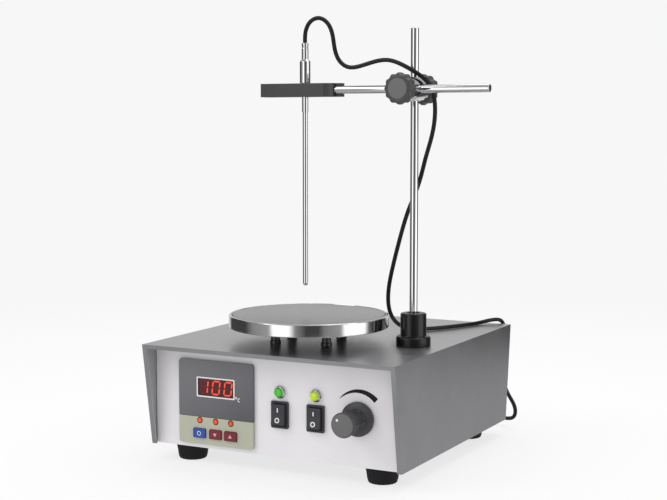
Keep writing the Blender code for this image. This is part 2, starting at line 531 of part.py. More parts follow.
def make_rear_sockets():
    x, z = INLET
    inlet = block("power_inlet", (x - 0.025, REAR_FACE + GAP, z - 0.014), (x + 0.025, REAR_FACE + 0.0033, z + 0.014),
                  BLACK_PLASTIC, bevel=0.002, edges_along="Y")
    body = block("inlet_body", (x - 0.0150, REAR_FACE - 0.0180, z - 0.0115), (x + 0.0150, REAR_FACE + 0.002, z + 0.0115),
                 BLACK_PLASTIC)
    well = block("inlet_well", (x - 0.0122, REAR_FACE - 0.0150, z - 0.0082), (x + 0.0122, REAR_FACE + 0.02, z + 0.0082),
                 BLACK_PLASTIC)
    join(inlet, body)
    cut(inlet, well)

    x, z = SOCKET
    centre, out = (x, REAR_FACE, z), (0, 1, 0)
    socket = [(0.0038, 0.0090), (0.0060, 0.0090), (0.0060, 0.0028), (0.0085, 0.0024), (0.0085, GAP), (0.0060, GAP),
              (0.0060, -0.0120), (0, -0.0120), (0, -0.0020), (0.0038, -0.0020)]
    turned("sensor_socket", socket, centre, out, CHROME, 24, closed=True)
    end = PLUG_END_Y - REAR_FACE
    plug = [(0, 0.0010), (0.0034, 0.0010), (0.0034, 0.0094), (0.0072, 0.0094), (0.0075, 0.0100), (0.0075, 0.0190),
            (0.0068, 0.0200), (0.0040, 0.0205), (0.0036, 0.0212), (0.0027, end), (0, end)]
    turned("cord_plug", plug, centre, out, BLACK_PLASTIC, 24)


def smooth_curve(points):
    """A natural cubic spline through points, as a function of the distance along their straight runs."""
    points = np.array(points, float)
    knots = np.concatenate([[0], np.cumsum(np.linalg.norm(np.diff(points, axis=0), axis=1))])
    n, gap = len(points), np.diff(knots)
    system, sides = np.eye(n), np.zeros((n, 3))
    for i in range(1, n - 1):
        system[i, i - 1:i + 2] = gap[i - 1], 2 * (gap[i - 1] + gap[i]), gap[i]
        sides[i] = 6 * ((points[i + 1] - points[i]) / gap[i] - (points[i] - points[i - 1]) / gap[i - 1])
    bend = np.linalg.solve(system, sides)

    def at(distance):
        i = min(int(np.searchsorted(knots, distance, side="right")) - 1, n - 2)
        left, right, h = knots[i + 1] - distance, distance - knots[i], gap[i]
        linear = (points[i] / h - bend[i] * h / 6) * left + (points[i + 1] / h - bend[i + 1] * h / 6) * right
        return bend[i] * left**3 / (6 * h) + bend[i + 1] * right**3 / (6 * h) + linear

    return at, knots


def make_cord():
    at, knots = smooth_curve(CORD_ROUTE)
    spacing = 3 * CORD_DIAMETER
    for name, first, last in CORD_STRETCHES:
        start, end = knots[first] + GAP / 2, knots[last] - GAP / 2
        inner_start, inner_end = start + END_RUN, end - END_RUN
        count = round((inner_end - inner_start) / spacing) + 1
        distances = [start, *np.linspace(inner_start, inner_end, count), end]
        curve = bpy.data.curves.new(name, "CURVE")
        curve.dimensions = "3D"
        curve.bevel_depth = CORD_DIAMETER / 2
        curve.bevel_resolution = 2
        curve.use_fill_caps = True
        line = curve.splines.new("POLY")
        line.points.add(len(distances) - 1)
        for point, distance in zip(line.points, distances):
            point.co = (*place(*at(distance)), 1)
        curve.materials.append(RUBBER)
        cord = bpy.data.objects.new(name, curve)
        bpy.context.scene.collection.objects.link(cord)


for old in list(bpy.data.objects):
    bpy.data.objects.remove(old, do_unlink=True)

STEEL = material("steel_sheet", (0.45, 0.45, 0.47), 0.35, 1.0)
CHROME = material("chrome", (0.75, 0.75, 0.77), 0.12, 1.0)
DARK_METAL = material("dark_metal", (0.12, 0.12, 0.13), 0.5, 0.8)
PAINT = material("white_paint", (0.80, 0.79, 0.80), 0.45)
RUBBER = material("black_rubber", (0.02, 0.02, 0.02), 0.6)
BLACK_PLASTIC = material("black_plastic", (0.04, 0.04, 0.045), 0.4)
GREY_PLASTIC = material("grey_plastic", (0.12, 0.12, 0.125), 0.45)
GREEN_BOARD = material("circuit_board", (0.03, 0.20, 0.08), 0.5)
LENS_RED = material("red_window", (0.15, 0.01, 0.02), 0.1)
LENS_GREEN = material("green_lens", (0.10, 0.75, 0.05), 0.15)
LENS_YELLOW = material("yellow_lens", (0.60, 0.80, 0.05), 0.15)
KEY_BLUE = material("blue_key", (0.04, 0.12, 0.45), 0.4)
KEY_RED = material("maroon_key", (0.25, 0.02, 0.04), 0.4)

make_cover()
make_panels()
make_base()
make_hot_plate()
make_drive()
make_electrics()
make_controller_front()
make_switches()
make_speed_control()
make_stand()
make_probe()
make_rear_sockets()
make_cord()
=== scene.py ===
"""The finished look of the magnetic stirrer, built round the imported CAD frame. Metres, +Z is up."""

import math

import bmesh
import bpy
import numpy as np
from mathutils import Matrix, Vector


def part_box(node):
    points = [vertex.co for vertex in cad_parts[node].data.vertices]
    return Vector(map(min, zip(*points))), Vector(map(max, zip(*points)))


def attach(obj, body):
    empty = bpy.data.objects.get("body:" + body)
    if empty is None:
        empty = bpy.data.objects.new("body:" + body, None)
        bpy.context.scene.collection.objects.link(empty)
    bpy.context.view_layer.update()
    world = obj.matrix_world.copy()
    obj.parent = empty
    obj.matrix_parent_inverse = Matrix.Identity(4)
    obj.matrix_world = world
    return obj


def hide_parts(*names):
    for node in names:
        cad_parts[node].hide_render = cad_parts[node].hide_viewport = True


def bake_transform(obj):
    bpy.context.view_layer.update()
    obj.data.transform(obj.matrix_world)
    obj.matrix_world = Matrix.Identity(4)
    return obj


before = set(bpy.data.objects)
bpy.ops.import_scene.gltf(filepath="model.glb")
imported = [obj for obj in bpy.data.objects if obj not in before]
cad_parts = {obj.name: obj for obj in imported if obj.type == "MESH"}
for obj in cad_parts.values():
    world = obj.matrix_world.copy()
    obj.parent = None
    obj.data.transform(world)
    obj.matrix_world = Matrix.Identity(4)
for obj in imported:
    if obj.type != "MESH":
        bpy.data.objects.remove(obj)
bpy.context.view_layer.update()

UP, FRONT, BACK, RIGHT = Vector((0, 0, 1)), Vector((0, -1, 0)), Vector((0, 1, 0)), Vector((1, 0, 0))
GAP = 0.0003  # clearance between neighbouring pieces
THROUGH = 0.01  # how far a cutter runs past the piece that it cuts
SAME_PLACE = 1e-5  # vertices this close to a face count as lying on it
SMOOTH_UP_TO = 32.0  # degrees between faces that still shade as one
ROD_BORE = 0.0036


def span(node):
    """A node's lowest corner, highest corner and middle."""
    low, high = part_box(node)
    return low, high, (low + high) / 2


# ---- Camera ----

camera_data = bpy.data.cameras.new("camera")
camera_data.lens = 74.86
camera_data.sensor_width = 36.0
camera = bpy.data.objects.new("camera", camera_data)
camera.location = (0.5286, -1.04945, 0.2809)
camera.rotation_euler = (math.radians(84.754), 0, math.radians(27.509))
bpy.context.scene.collection.objects.link(camera)
bpy.context.scene.camera = camera

# ---- Materials ----


def tint(color, share):
    return (*(min(1.0, c * share) for c in color), 1.0)


def node(tree, kind, *links, **values):
    """A shader node with its links, as (input, output) pairs, and the plain values of its other inputs."""
    made = tree.nodes.new(f"ShaderNode{kind}")
    for socket, source in links:
        tree.links.new(source, made.inputs[socket])
    for socket, value in values.items():
        made.inputs[socket.replace("_", " ")].default_value = value
    return made


def material(name):
    made = bpy.data.materials.new(name)
    made.use_nodes = True
    return made, made.node_tree, made.node_tree.nodes["Principled BSDF"]


def noise(tree, vector, scale, detail):
    return node(tree, "TexNoise", ("Vector", vector), Scale=scale, Detail=detail).outputs["Fac"]


def stretched(tree, vector, scale):
    return node(tree, "Mapping", ("Vector", vector), Scale=scale).outputs["Vector"]


def rescaled(tree, value, low, high, start=0.3, end=0.7):
    made = node(tree, "MapRange", ("Value", value), From_Min=start, From_Max=end, To_Min=low, To_Max=high)
    return made.outputs["Result"]


def mixed(tree, factor, first, second):
    """A colour between two, each a colour or another node's output."""
    made = tree.nodes.new("ShaderNodeMix")
    made.data_type = "RGBA"
    tree.links.new(factor, made.inputs[0])
    for socket, color in ((made.inputs[6], first), (made.inputs[7], second)):
        if isinstance(color, tuple):
            socket.default_value = color
        else:
            tree.links.new(color, socket)
    return made.outputs[2]


def radius_of(tree, vector, centre):
    """Distance from a vertical axis, which gives a turned face its rings."""
    flat = node(tree, "Mapping", ("Vector", vector), Location=(-centre.x, -centre.y, 0), Scale=(1, 1, 0))
    length = node(tree, "VectorMath", (0, flat.outputs["Vector"]))
    length.operation = "LENGTH"
    return length.outputs["Value"]


MICRON = 1e-6
PATCHES = 30.0  # noise cycles per metre of the broad patches of colour
GRAIN_DETAIL = 3.0
TURNING_RINGS = 2600.0  # how finely the marks of turning lie, in noise cycles per metre of radius


def surface(name, color, roughness, metallic=0.0, grain=900, depth=0, tone=0.06, gloss=0.12,
            rings_about=None, specks=None, **sockets):
    """A procedural surface. Fine grain, depth in microns, shifts the roughness and raises bumps, and broad
    patches vary the colour."""
    made, tree, shader = material(name)
    shader.inputs["Metallic"].default_value = metallic
    for socket, value in sockets.items():
        shader.inputs[socket.replace("_", " ")].default_value = value
    here = node(tree, "TexCoord").outputs["Object"]
    if rings_about is None:
        scale = grain if isinstance(grain, tuple) else (grain,) * 3
        fine = noise(tree, stretched(tree, here, scale), 1.0, GRAIN_DETAIL)
    else:
        ring = node(tree, "TexNoise", Scale=TURNING_RINGS, Detail=GRAIN_DETAIL)
        ring.noise_dimensions = "1D"
        tree.links.new(radius_of(tree, here, rings_about), ring.inputs["W"])
        fine = ring.outputs["Fac"]
    broad = noise(tree, here, PATCHES, GRAIN_DETAIL)
    shade = mixed(tree, rescaled(tree, broad, 0.0, 1.0), tint(color, 1 - tone), tint(color, 1 + tone))
    shade = mixed(tree, rescaled(tree, fine, 0.0, tone, 0.35, 0.65), shade, tint(color, 0.5))
    if specks:
        speck_scale, speck_color = specks
        dots = rescaled(tree, noise(tree, here, speck_scale, 1.0), 0.0, 0.8, 0.70, 0.74)
        shade = mixed(tree, dots, shade, speck_color)
    tree.links.new(shade, shader.inputs["Base Color"])
    both = node(tree, "Math", (0, fine), (1, broad))
    both.operation = "ADD"
    low, high = roughness * (1 - gloss), roughness * (1 + gloss)
    tree.links.new(rescaled(tree, both.outputs["Value"], low, high, 0.7, 1.3), shader.inputs["Roughness"])
    if depth:
        bump = node(tree, "Bump", ("Height", fine), Strength=0.6, Distance=depth * MICRON)
        tree.links.new(bump.outputs["Normal"], shader.inputs["Normal"])
    return made


plate_low, plate_high, plate_middle = span("hot_plate")

STEEL = surface("satin_steel", (0.50, 0.50, 0.51), 0.34, 1.0, grain=(2400, 160, 2400), depth=6, tone=0.05)
INNER_STEEL = surface("inner_steel", (0.42, 0.42, 0.43), 0.42, 1.0, grain=(1600, 200, 1600), depth=8)
PLATE_FACE = surface("turned_plate", (0.36, 0.36, 0.37), 0.30, 1.0, depth=5, rings_about=plate_middle)
PLATE_SIDE = surface("polished_steel", (0.72, 0.72, 0.73), 0.09, 1.0, grain=(300, 300, 3500), depth=2)
CHROME = surface("bright_chrome", (0.80, 0.80, 0.81), 0.07, 1.0, grain=(700, 700, 2500), depth=1, tone=0.03)
# Painted shade: the plate's posts get a near-black steel that stands for the shade they sit in under the
# plate.
POST_STEEL_PAINTED_SHADE = surface("post_steel_painted_shade", (0.10, 0.10, 0.105), 0.38, 1.0, grain=(1500, 3500, 1500), depth=4)
TURNED = surface("turned_nickel", (0.66, 0.66, 0.67), 0.22, 1.0, grain=(1500, 3500, 1500), depth=4)
PAINT = surface("panel_paint", (0.83, 0.81, 0.83), 0.38, grain=1400, depth=10, tone=0.02)
RUBBER = surface("foot_rubber", (0.012, 0.011, 0.012), 0.62, grain=2500, depth=40, tone=0.2,
                 Specular_IOR_Level=0.25)
JACKET = surface("cord_jacket", (0.008, 0.008, 0.008), 0.40, grain=1500, depth=12, tone=0.2,
                 Specular_IOR_Level=0.30)
GLOSS_BLACK = surface("gloss_black", (0.008, 0.008, 0.009), 0.26, grain=900, depth=5, tone=0.2,
                      Specular_IOR_Level=0.40)
CHARCOAL = surface("charcoal_nylon", (0.050, 0.049, 0.050), 0.46, grain=3200, depth=26, tone=0.1)
KNOB_GREY = surface("knob_grey", (0.062, 0.060, 0.062), 0.48, grain=3000, depth=22, tone=0.1)
FACE_GREY = surface("knob_face_grey", (0.135, 0.130, 0.132), 0.5, grain=2600, depth=18)
SWITCH_BLACK = surface("switch_black", (0.046, 0.043, 0.050), 0.40, grain=2500, depth=16,
                       Specular_IOR_Level=0.35)
MARK_WHITE = surface("mark_white", (0.82, 0.82, 0.82), 0.45, grain=2500, depth=6)
INK = surface("printed_ink", (0.014, 0.014, 0.016), 0.5, grain=2500, depth=6, tone=0.15,
              Specular_IOR_Level=0.20)
BEIGE = surface("beige_plastic", (0.47, 0.48, 0.37), 0.45, grain=2600, depth=14, tone=0.03)
BLUE = surface("blue_key", (0.020, 0.075, 0.36), 0.38, grain=2600, depth=14)
MAROON = surface("maroon_key", (0.19, 0.020, 0.030), 0.38, grain=2600, depth=14)
PINK_MARK = surface("pink_mark", (0.70, 0.40, 0.42), 0.5, grain=2600, depth=6)
LED_RED = surface("led_red", (0.75, 0.07, 0.02), 0.18, grain=800, tone=0.15,
                  Emission_Color=(1.0, 0.10, 0.02, 1), Emission_Strength=0.25)
WINDOW_RED = surface("window_red", (0.085, 0.006, 0.008), 0.12, grain=700, tone=0.25, Coat_Weight=0.6)
SEGMENT_LIT = surface("segment_lit", (0.85, 0.07, 0.03), 0.3, grain=900, tone=0.12,
                      Emission_Color=(1.0, 0.09, 0.03, 1), Emission_Strength=0.45)
SEGMENT_DIM = surface("segment_dim", (0.16, 0.015, 0.014), 0.3, grain=900, tone=0.2)
BOARD = surface("solder_mask", (0.02, 0.13, 0.05), 0.35, grain=500, depth=15,
                specks=(420.0, (0.65, 0.52, 0.22, 1)))
LACQUER = surface("dark_lacquer", (0.05, 0.05, 0.055), 0.4, 0.7, grain=900, depth=20, tone=0.15)
LAMINATE = surface("core_laminate", (0.24, 0.24, 0.25), 0.45, 0.9, grain=(60, 60, 3800), depth=90, tone=0.2)


def lens(name, color, glow):
    """A tinted lens that lets part of the light through, and glows a little."""
    made = surface(name, color, 0.08, grain=260, tone=0.3, Coat_Weight=0.5,
                   Emission_Color=(*color, 1), Emission_Strength=glow)
    made.node_tree.nodes["Principled BSDF"].inputs["Transmission Weight"].default_value = 0.35
    return made


LENS_GREEN = lens("green_lens", (0.08, 0.62, 0.04), 0.16)
LENS_YELLOW = lens("yellow_lens", (0.55, 0.72, 0.03), 0.22)


def make_bezel_painted_light():
    """The controller's upper half: a dark grey with painted light, lightening towards its upper left corner,
    the side that the light falls on.
    """
    made = surface("bezel_grey_painted_light", (0.10, 0.10, 0.11), 0.32, grain=2600, depth=14)
    tree = made.node_tree
    low, high, _ = span("controller_bezel")
    parts = node(tree, "SeparateXYZ", ("Vector", node(tree, "TexCoord").outputs["Object"]))
    across = rescaled(tree, parts.outputs["X"], 1.0, 0.0, low.x, high.x)
    upward = rescaled(tree, parts.outputs["Z"], 0.0, 1.0, low.z + 0.025, high.z)
    both = node(tree, "Math", (0, across), (2, rescaled(tree, upward, 0.0, 0.55, 0.0, 1.0)))
    both.operation = "MULTIPLY_ADD"
    both.inputs[1].default_value = 0.45
    color = tree.nodes["Principled BSDF"].inputs["Base Color"]
    plain = color.links[0].from_socket
    # painted light: a lighter grey mixed in towards the upper left corner
    tree.links.new(mixed(tree, both.outputs["Value"], plain, (0.21, 0.21, 0.22, 1)), color)
    return made


BEZEL_PAINTED_LIGHT = make_bezel_painted_light()

# ---- Shapes ----


def add(name, shape, finish, body="root", replaces=(), slot=None, sharp=SMOOTH_UP_TO):
    """Makes a piece of a bmesh in the frame's coordinates, and has it ride on its body."""
    bmesh.ops.recalc_face_normals(shape, faces=shape.faces)
    mesh = bpy.data.meshes.new(name)
    shape.to_mesh(mesh)
    shape.free()
    mesh.shade_smooth()
    mesh.set_sharp_from_angle(angle=math.radians(sharp))
    mesh.materials.append(finish)
    piece = bpy.data.objects.new(name, mesh)
    bpy.context.scene.collection.objects.link(piece)
    if body:
        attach(piece, body)
    if replaces:
        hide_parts(*replaces)
    return piece


def softened(corners, steps=5, closed=False):
    """Rounds a 2-D outline. A corner is (u, v) or, where it is rounded, (u, v, radius)."""
    points = []
    count = len(corners)
    for i, corner in enumerate(corners):
        here = Vector(corner[:2])
        radius = corner[2] if len(corner) > 2 else 0.0
        if not radius or (not closed and i in (0, count - 1)):
            points.append(tuple(here))
            continue
        before, after = Vector(corners[i - 1][:2]), Vector(corners[(i + 1) % count][:2])
        a, b = (before - here).normalized(), (after - here).normalized()
        half = math.acos(max(-1.0, min(1.0, a.dot(b)))) / 2
        reach = min(radius / math.tan(half), (before - here).length * 0.49, (after - here).length * 0.49)
        real = reach * math.tan(half)
        centre = here + (a + b).normalized() * (real / math.sin(half))
        first, last = here + a * reach - centre, here + b * reach - centre
        turn = math.atan2(first.x * last.y - first.y * last.x, first.dot(last))
        for k in range(steps + 1):
            angle = turn * k / steps
            c, s = math.cos(angle), math.sin(angle)
            points.append((centre.x + first.x * c - first.y * s, centre.y + first.x * s + first.y * c))
    return points


def turned(name, profile, centre, direction, finish, segments=96, closed=False, reach=None, steps=5, **more):
    """A turned piece: (radius, distance[, rounding]) corners along a direction. A closed one has a bore."""
    shape = bmesh.new()
    turn = Vector(direction).to_track_quat("Z", "Y").to_matrix().to_4x4()
    to_world = Matrix.Translation(centre) @ turn
    rings = []
    for radius, along in softened(profile, steps, closed):
        if radius < 1e-6:
            rings.append([shape.verts.new(to_world @ Vector((0, 0, along)))])
            continue
        ring = []
        for i in range(segments):
            angle = 2 * math.pi * i / segments
            r = reach(angle, radius, along) if reach else radius
            ring.append(shape.verts.new(to_world @ Vector((r * math.cos(angle), r * math.sin(angle), along))))
        rings.append(ring)
    for a, b in zip(rings, rings[1:] + (rings[:1] if closed else [])):
        for i in range(segments):
            j = (i + 1) % segments
            corners = list(dict.fromkeys([a[i % len(a)], a[j % len(a)], b[j % len(b)], b[i % len(b)]]))
            if len(corners) > 2:
                shape.faces.new(corners)
    return add(name, shape, finish, **more)


AXES = {"X": lambda p, t: (t, p[0], p[1]), "Y": lambda p, t: (p[0], t, p[1]), "Z": lambda p,
        t: (p[0], p[1], t)}


def slab(name, outline, axis, start, end, finish, bevel=0.0, segments=3, only=None, **more):
    """An outline pulled along an axis, with its edges bevelled, or those of them that only() picks."""
    shape = bmesh.new()
    rings = [[shape.verts.new(AXES[axis](p, t)) for p in outline] for t in (start, end)]
    shape.faces.new(rings[0])
    shape.faces.new(rings[1])
    for i in range(len(outline)):
        j = (i + 1) % len(outline)
        shape.faces.new((rings[0][i], rings[0][j], rings[1][j], rings[1][i]))
    if bevel:
        edges = [e for e in shape.edges if e.calc_face_angle(0) > 0.5]
        if only:
            edges = [e for e in edges if only(e)]
        bmesh.ops.bevel(shape, geom=edges, offset=bevel, segments=segments, profile=0.5, affect="EDGES",
                        clamp_overlap=True)
    return add(name, shape, finish, **more)


def rectangle(left, right, low, high, radius=0.0, steps=5):
    corners = [(left, low, radius), (right, low, radius), (right, high, radius), (left, high, radius)]
    return softened(corners, steps, closed=True) if radius else [c[:2] for c in corners]


def around(centre, half_width, half_height, radius):
    """A rounded rectangle about a point of an upright face."""
    return rectangle(centre.x - half_width, centre.x + half_width, centre.z - half_height,
                     centre.z + half_height, radius)


def at_front(y):
    """Picks the edges that lie in a front face."""
    return lambda edge: max(v.co.y for v in edge.verts) < y + SAME_PLACE


def arc(centre, radii, first, last, steps):
    """Points on an arc of a circle or an ellipse, between two angles in degrees."""
    angles = [math.radians(first + (last - first) * k / steps) for k in range(steps + 1)]
    return [(centre[0] + radii[0] * math.cos(a), centre[1] + radii[1] * math.sin(a)) for a in angles]


def carve(target, *cutters, operation="DIFFERENCE"):
    """Applies booleans for good and removes the cutters."""
    for cutter in cutters:
        change = target.modifiers.new(cutter.name, "BOOLEAN")
        change.operation = operation
        change.solver = "EXACT"
        change.object = cutter
    bpy.context.view_layer.update()
    evaluated = target.evaluated_get(bpy.context.evaluated_depsgraph_get())
    mesh = bpy.data.meshes.new_from_object(evaluated)
    target.modifiers.clear()
    target.data = mesh
    for cutter in cutters:
        bpy.data.objects.remove(cutter)
    mesh.shade_smooth()
    mesh.set_sharp_from_angle(angle=math.radians(SMOOTH_UP_TO))
    return target


def drill(name, radius, centre, direction, length, segments=64):
    half = length / 2
    return turned(name, [(0, -half), (radius, -half), (radius, half), (0, half)], centre, direction, STEEL,
                  segments, body=None)


def ring_mark(name, centre, radius, width, finish, direction=FRONT, thick=0.0002, **more):
    profile = [(radius - width / 2, 0), (radius + width / 2, 0), (radius + width / 2, thick),
               (radius - width / 2, thick)]
    return turned(name, profile, centre, direction, finish, 32, closed=True, **more)


def screw_head(name, centre, direction, radius, body="root"):
    """A pan head screw with a cross recess."""
    head = turned(name, [(radius, 0), (radius, radius * 0.35, radius * 0.3), (0, radius * 0.6)], centre,
                  direction, TURNED, 32, body=body)
    turn = Vector(direction).to_track_quat("Z", "Y").to_matrix()
    arms = []
    for i, (w, h) in enumerate(((0.62, 0.13), (0.13, 0.62))):
        shape = bmesh.new()
        bmesh.ops.create_cube(shape, size=1)
        for vert in shape.verts:
            local = Vector((vert.co.x * 2 * w * radius, vert.co.y * 2 * h * radius, vert.co.z * radius * 0.7))
            vert.co = centre + turn @ (local + Vector((0, 0, radius * 0.65)))
        arms.append(add(f"{name}_recess_{i}", shape, TURNED, body=None))
    return carve(head, *arms)


# ---- Sensor cord: the route that the CAD's stretches follow, from the probe to the plug ----

HOUSING_ORIGIN = Vector((0.0190, 0.11915,
                         0.0))  # the route is given from the cover's middle and its front edge
CORD_DIAMETER = 0.0035
CORD_RING_SPACING = 0.0012
CORD_ROUTE = [
    (-0.0115, 0.0921, 0.3471), (-0.0110, 0.0921, 0.3560), (-0.0064, 0.0921, 0.3643), (0.0012, 0.0921, 0.3670),
    (0.0088, 0.0921, 0.3634), (0.0138, 0.0921, 0.3545), (0.0162, 0.0921, 0.3420), (0.0203, 0.0921, 0.3321),
    (0.0281, 0.0921, 0.3265), (0.0400, 0.0921, 0.3270), (0.0535, 0.0921, 0.3304), (0.0645, 0.0921, 0.3313),
    (0.0765, 0.0918, 0.3278), (0.0870, 0.0930, 0.3222), (0.0940, 0.0975, 0.3165), (0.0986, 0.1018, 0.3092),
    (0.1008, 0.1038, 0.2990), (0.1009, 0.1045, 0.2860), (0.0982, 0.1053, 0.2710), (0.0925, 0.1068, 0.2540),
    (0.0851, 0.1090, 0.2315), (0.0747, 0.1120, 0.2093), (0.0655, 0.1138, 0.1830), (0.0582, 0.1165, 0.1600),
    (0.0527, 0.1205, 0.1405), (0.0497, 0.1280, 0.1240), (0.0496, 0.1400, 0.1117), (0.0535, 0.1575, 0.1034),
    (0.0625, 0.1740, 0.1011), (0.0722, 0.1885, 0.1009), (0.0805, 0.2045, 0.1009), (0.0872, 0.2195, 0.1009),
    (0.0920, 0.2345, 0.1012), (0.0983, 0.2452, 0.1024), (0.1038, 0.2520, 0.1013), (0.1056, 0.2563, 0.0945),
    (0.1052, 0.2568, 0.0840), (0.1038, 0.2558, 0.0660), (0.1052, 0.2556, 0.0465), (0.1110, 0.2562, 0.0320),
    (0.1163, 0.2580, 0.0205), (0.1142, 0.2615, 0.0118), (0.1060, 0.2665, 0.0082), (0.0950, 0.2735, 0.0080),
    (0.0815, 0.2815, 0.0120), (0.0702, 0.2850, 0.0210), (0.0637, 0.2825, 0.0312), (0.0621, 0.2760, 0.0364),
    (0.0620, 0.2692, 0.0370),
]
# Each stretch of cord with the route points it lies between and the bodies at its start and its end.
CORD_STRETCHES = [
    ("cord_probe_loop", 0, 8, "probe", "arm"),
    ("cord_arch", 8, 11, "arm", "boss"),
    ("cord_clamp_turn", 11, 19, "boss", "lift"),
    ("cord_drop", 19, 24, "lift", "root"),
    ("cord_tail", 24, len(CORD_ROUTE) - 1, "root", "root"),
]


def smooth_curve(points):
    """A natural cubic spline through points, as a function of the distance along their straight runs."""
    points = np.array(points, float)
    knots = np.concatenate([[0], np.cumsum(np.linalg.norm(np.diff(points, axis=0), axis=1))])
    n, gap = len(points), np.diff(knots)
    system, sides = np.eye(n), np.zeros((n, 3))
    for i in range(1, n - 1):
        system[i, i - 1:i + 2] = gap[i - 1], 2 * (gap[i - 1] + gap[i]), gap[i]
        sides[i] = 6 * ((points[i + 1] - points[i]) / gap[i] - (points[i] - points[i - 1]) / gap[i - 1])
    bend = np.linalg.solve(system, sides)

    def at(distance):
        i = min(int(np.searchsorted(knots, distance, side="right")) - 1, n - 2)
        left, right, h = knots[i + 1] - distance, distance - knots[i], gap[i]
        linear = (points[i] / h - bend[i] * h / 6) * left + (points[i + 1] / h - bend[i + 1] * h / 6) * right
        return bend[i] * left**3 / (6 * h) + bend[i + 1] * right**3 / (6 * h) + linear

    return at, knots


def tube(name, centres, radius, finish, sides=20):
    """A round tube through a list of points, with both ends closed."""
    shape = bmesh.new()
    rings = []
    across = None
    for i, centre in enumerate(centres):
        ahead = (centres[min(i + 1, len(centres) - 1)] - centres[max(i - 1, 0)]).normalized()
        across = ahead.orthogonal() if across is None else across - ahead * across.dot(ahead)
        across = across.normalized()
        other = ahead.cross(across)
        angles = [2 * math.pi * k / sides for k in range(sides)]
        spokes = [(across * math.cos(t) + other * math.sin(t)) * radius for t in angles]
        rings.append([shape.verts.new(centre + spoke) for spoke in spokes])
    for a, b in zip(rings, rings[1:]):
        for k in range(sides):
            shape.faces.new((a[k], a[(k + 1) % sides], b[(k + 1) % sides], b[k]))
    shape.faces.new(rings[0])
    shape.faces.new(rings[-1])
    return add(name, shape, finish, body=None, sharp=60.0)


def make_cord():
    at, knots = smooth_curve(CORD_ROUTE)
    for node, first, last, body, next_body in CORD_STRETCHES:
        count = round((knots[last] - knots[first]) / CORD_RING_SPACING) + 1
        centres = [Vector(at(d)) - HOUSING_ORIGIN for d in np.linspace(knots[first], knots[last], count)]
        piece = tube(f"{node}_jacket", centres, CORD_DIAMETER / 2, JACKET)
        if body == next_body:
            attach(piece, body)
        else:
            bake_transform(piece)
        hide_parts(node)


# ---- Housing ----

SHEET = 0.0012
LIP = 0.004
FRONT_SET_BACK = 0.0133  # how far the cover's bottom front edge stands behind its top one
cover_low, cover_high, _ = span("top_cover")
panel_low, _, _ = span("front_panel")
rear_low, rear_high, _ = span("rear_panel")
rod_low, rod_high, rod_middle = span("support_rod")


def side_outline(inset, below=0.0):
    """The cover's side as (y, z): its slanting ends run on below the bottom edge."""
    height = cover_high.z - cover_low.z
    top, bottom = cover_high.z - inset, cover_low.z - below
    front_run = below * FRONT_SET_BACK / height
    rear_run = below * (cover_high.y - rear_high.y) / height
    return [(cover_low.y + inset, top), (cover_high.y - inset, top), (rear_high.y - inset - rear_run, bottom),
            (cover_low.y + FRONT_SET_BACK + inset + front_run, bottom)]


def make_housing():
    fold = 0.0016
    left, right = cover_low.x, cover_high.x
    not_bottom = lambda e: max(v.co.z for v in e.verts) > cover_high.z - 1e-4
    cover = slab("cover_shell", side_outline(0), "X", left, right, STEEL, bevel=fold, segments=5,
                 only=not_bottom, replaces=["top_cover"], slot="steel_sheet")
    cavity = slab("cavity", side_outline(SHEET, THROUGH), "X", left + SHEET, right - SHEET, STEEL, body=None)
    top = cover_high.z - LIP + 0.0005
    window = rectangle(left + LIP, right - LIP, -THROUGH, top, 0.0012)
    front = slab("front_opening", window, "Y", cover_low.y - THROUGH, panel_low.y + 0.03, STEEL, body=None)
    rear = slab("rear_opening", window, "Y", rear_low.y - 0.03, cover_high.y + THROUGH, STEEL, body=None)
    hole = drill("rod_hole", 0.0041, Vector((rod_middle.x, rod_middle.y, cover_high.z)), UP, THROUGH)
    carve(cover, cavity, front, rear, hole)

    screw, sunk, edge = 0.0028, 0.0002, 0.012
    for name, x in (("left", cover_low.x + edge), ("right", cover_high.x - edge)):
        for level, z in (("low", rear_low.z + 0.022), ("high", rear_high.z - edge)):
            screw_head(f"rear_screw_{name}_{level}", Vector((x, rear_high.y - sunk, z)), BACK, screw)
    pan_low, pan_high, _ = span("base_pan")
    pan_edge = 0.022
    for side, x in (("left", pan_low.x + pan_edge), ("right", pan_high.x - pan_edge)):
        for end, y in (("middle", 0.0), ("rear", 0.045)):
            screw_head(f"pan_screw_{side}_{end}", Vector((x, y, pan_low.z + sunk)), -UP, screw)


def make_feet():
    for name in ("front_left", "front_right", "rear_left", "rear_right"):
        low, high, middle = span(f"foot_{name}")
        r = (high.x - low.x) / 2
        top = high.z
        profile = [(0, top), (r, top, 0.0006), (r, top - 0.0022, 0.0008), (r - 0.0006, top - 0.0048, 0.002),
                   (r - 0.0014, 0.0030, 0.002), (r - 0.0023, 0, 0.0016), (0.0046, 0, 0.0004),
                   (0.0040, 0.0040, 0.0003), (0, 0.0040)]
        turned(f"foot_{name}_rubber", profile, Vector((middle.x, middle.y, 0)), UP, RUBBER, 64,
               replaces=[f"foot_{name}"], slot="black_rubber")
        screw_head(f"foot_{name}_screw", Vector((middle.x, middle.y, 0.0039)), -UP, 0.0032)


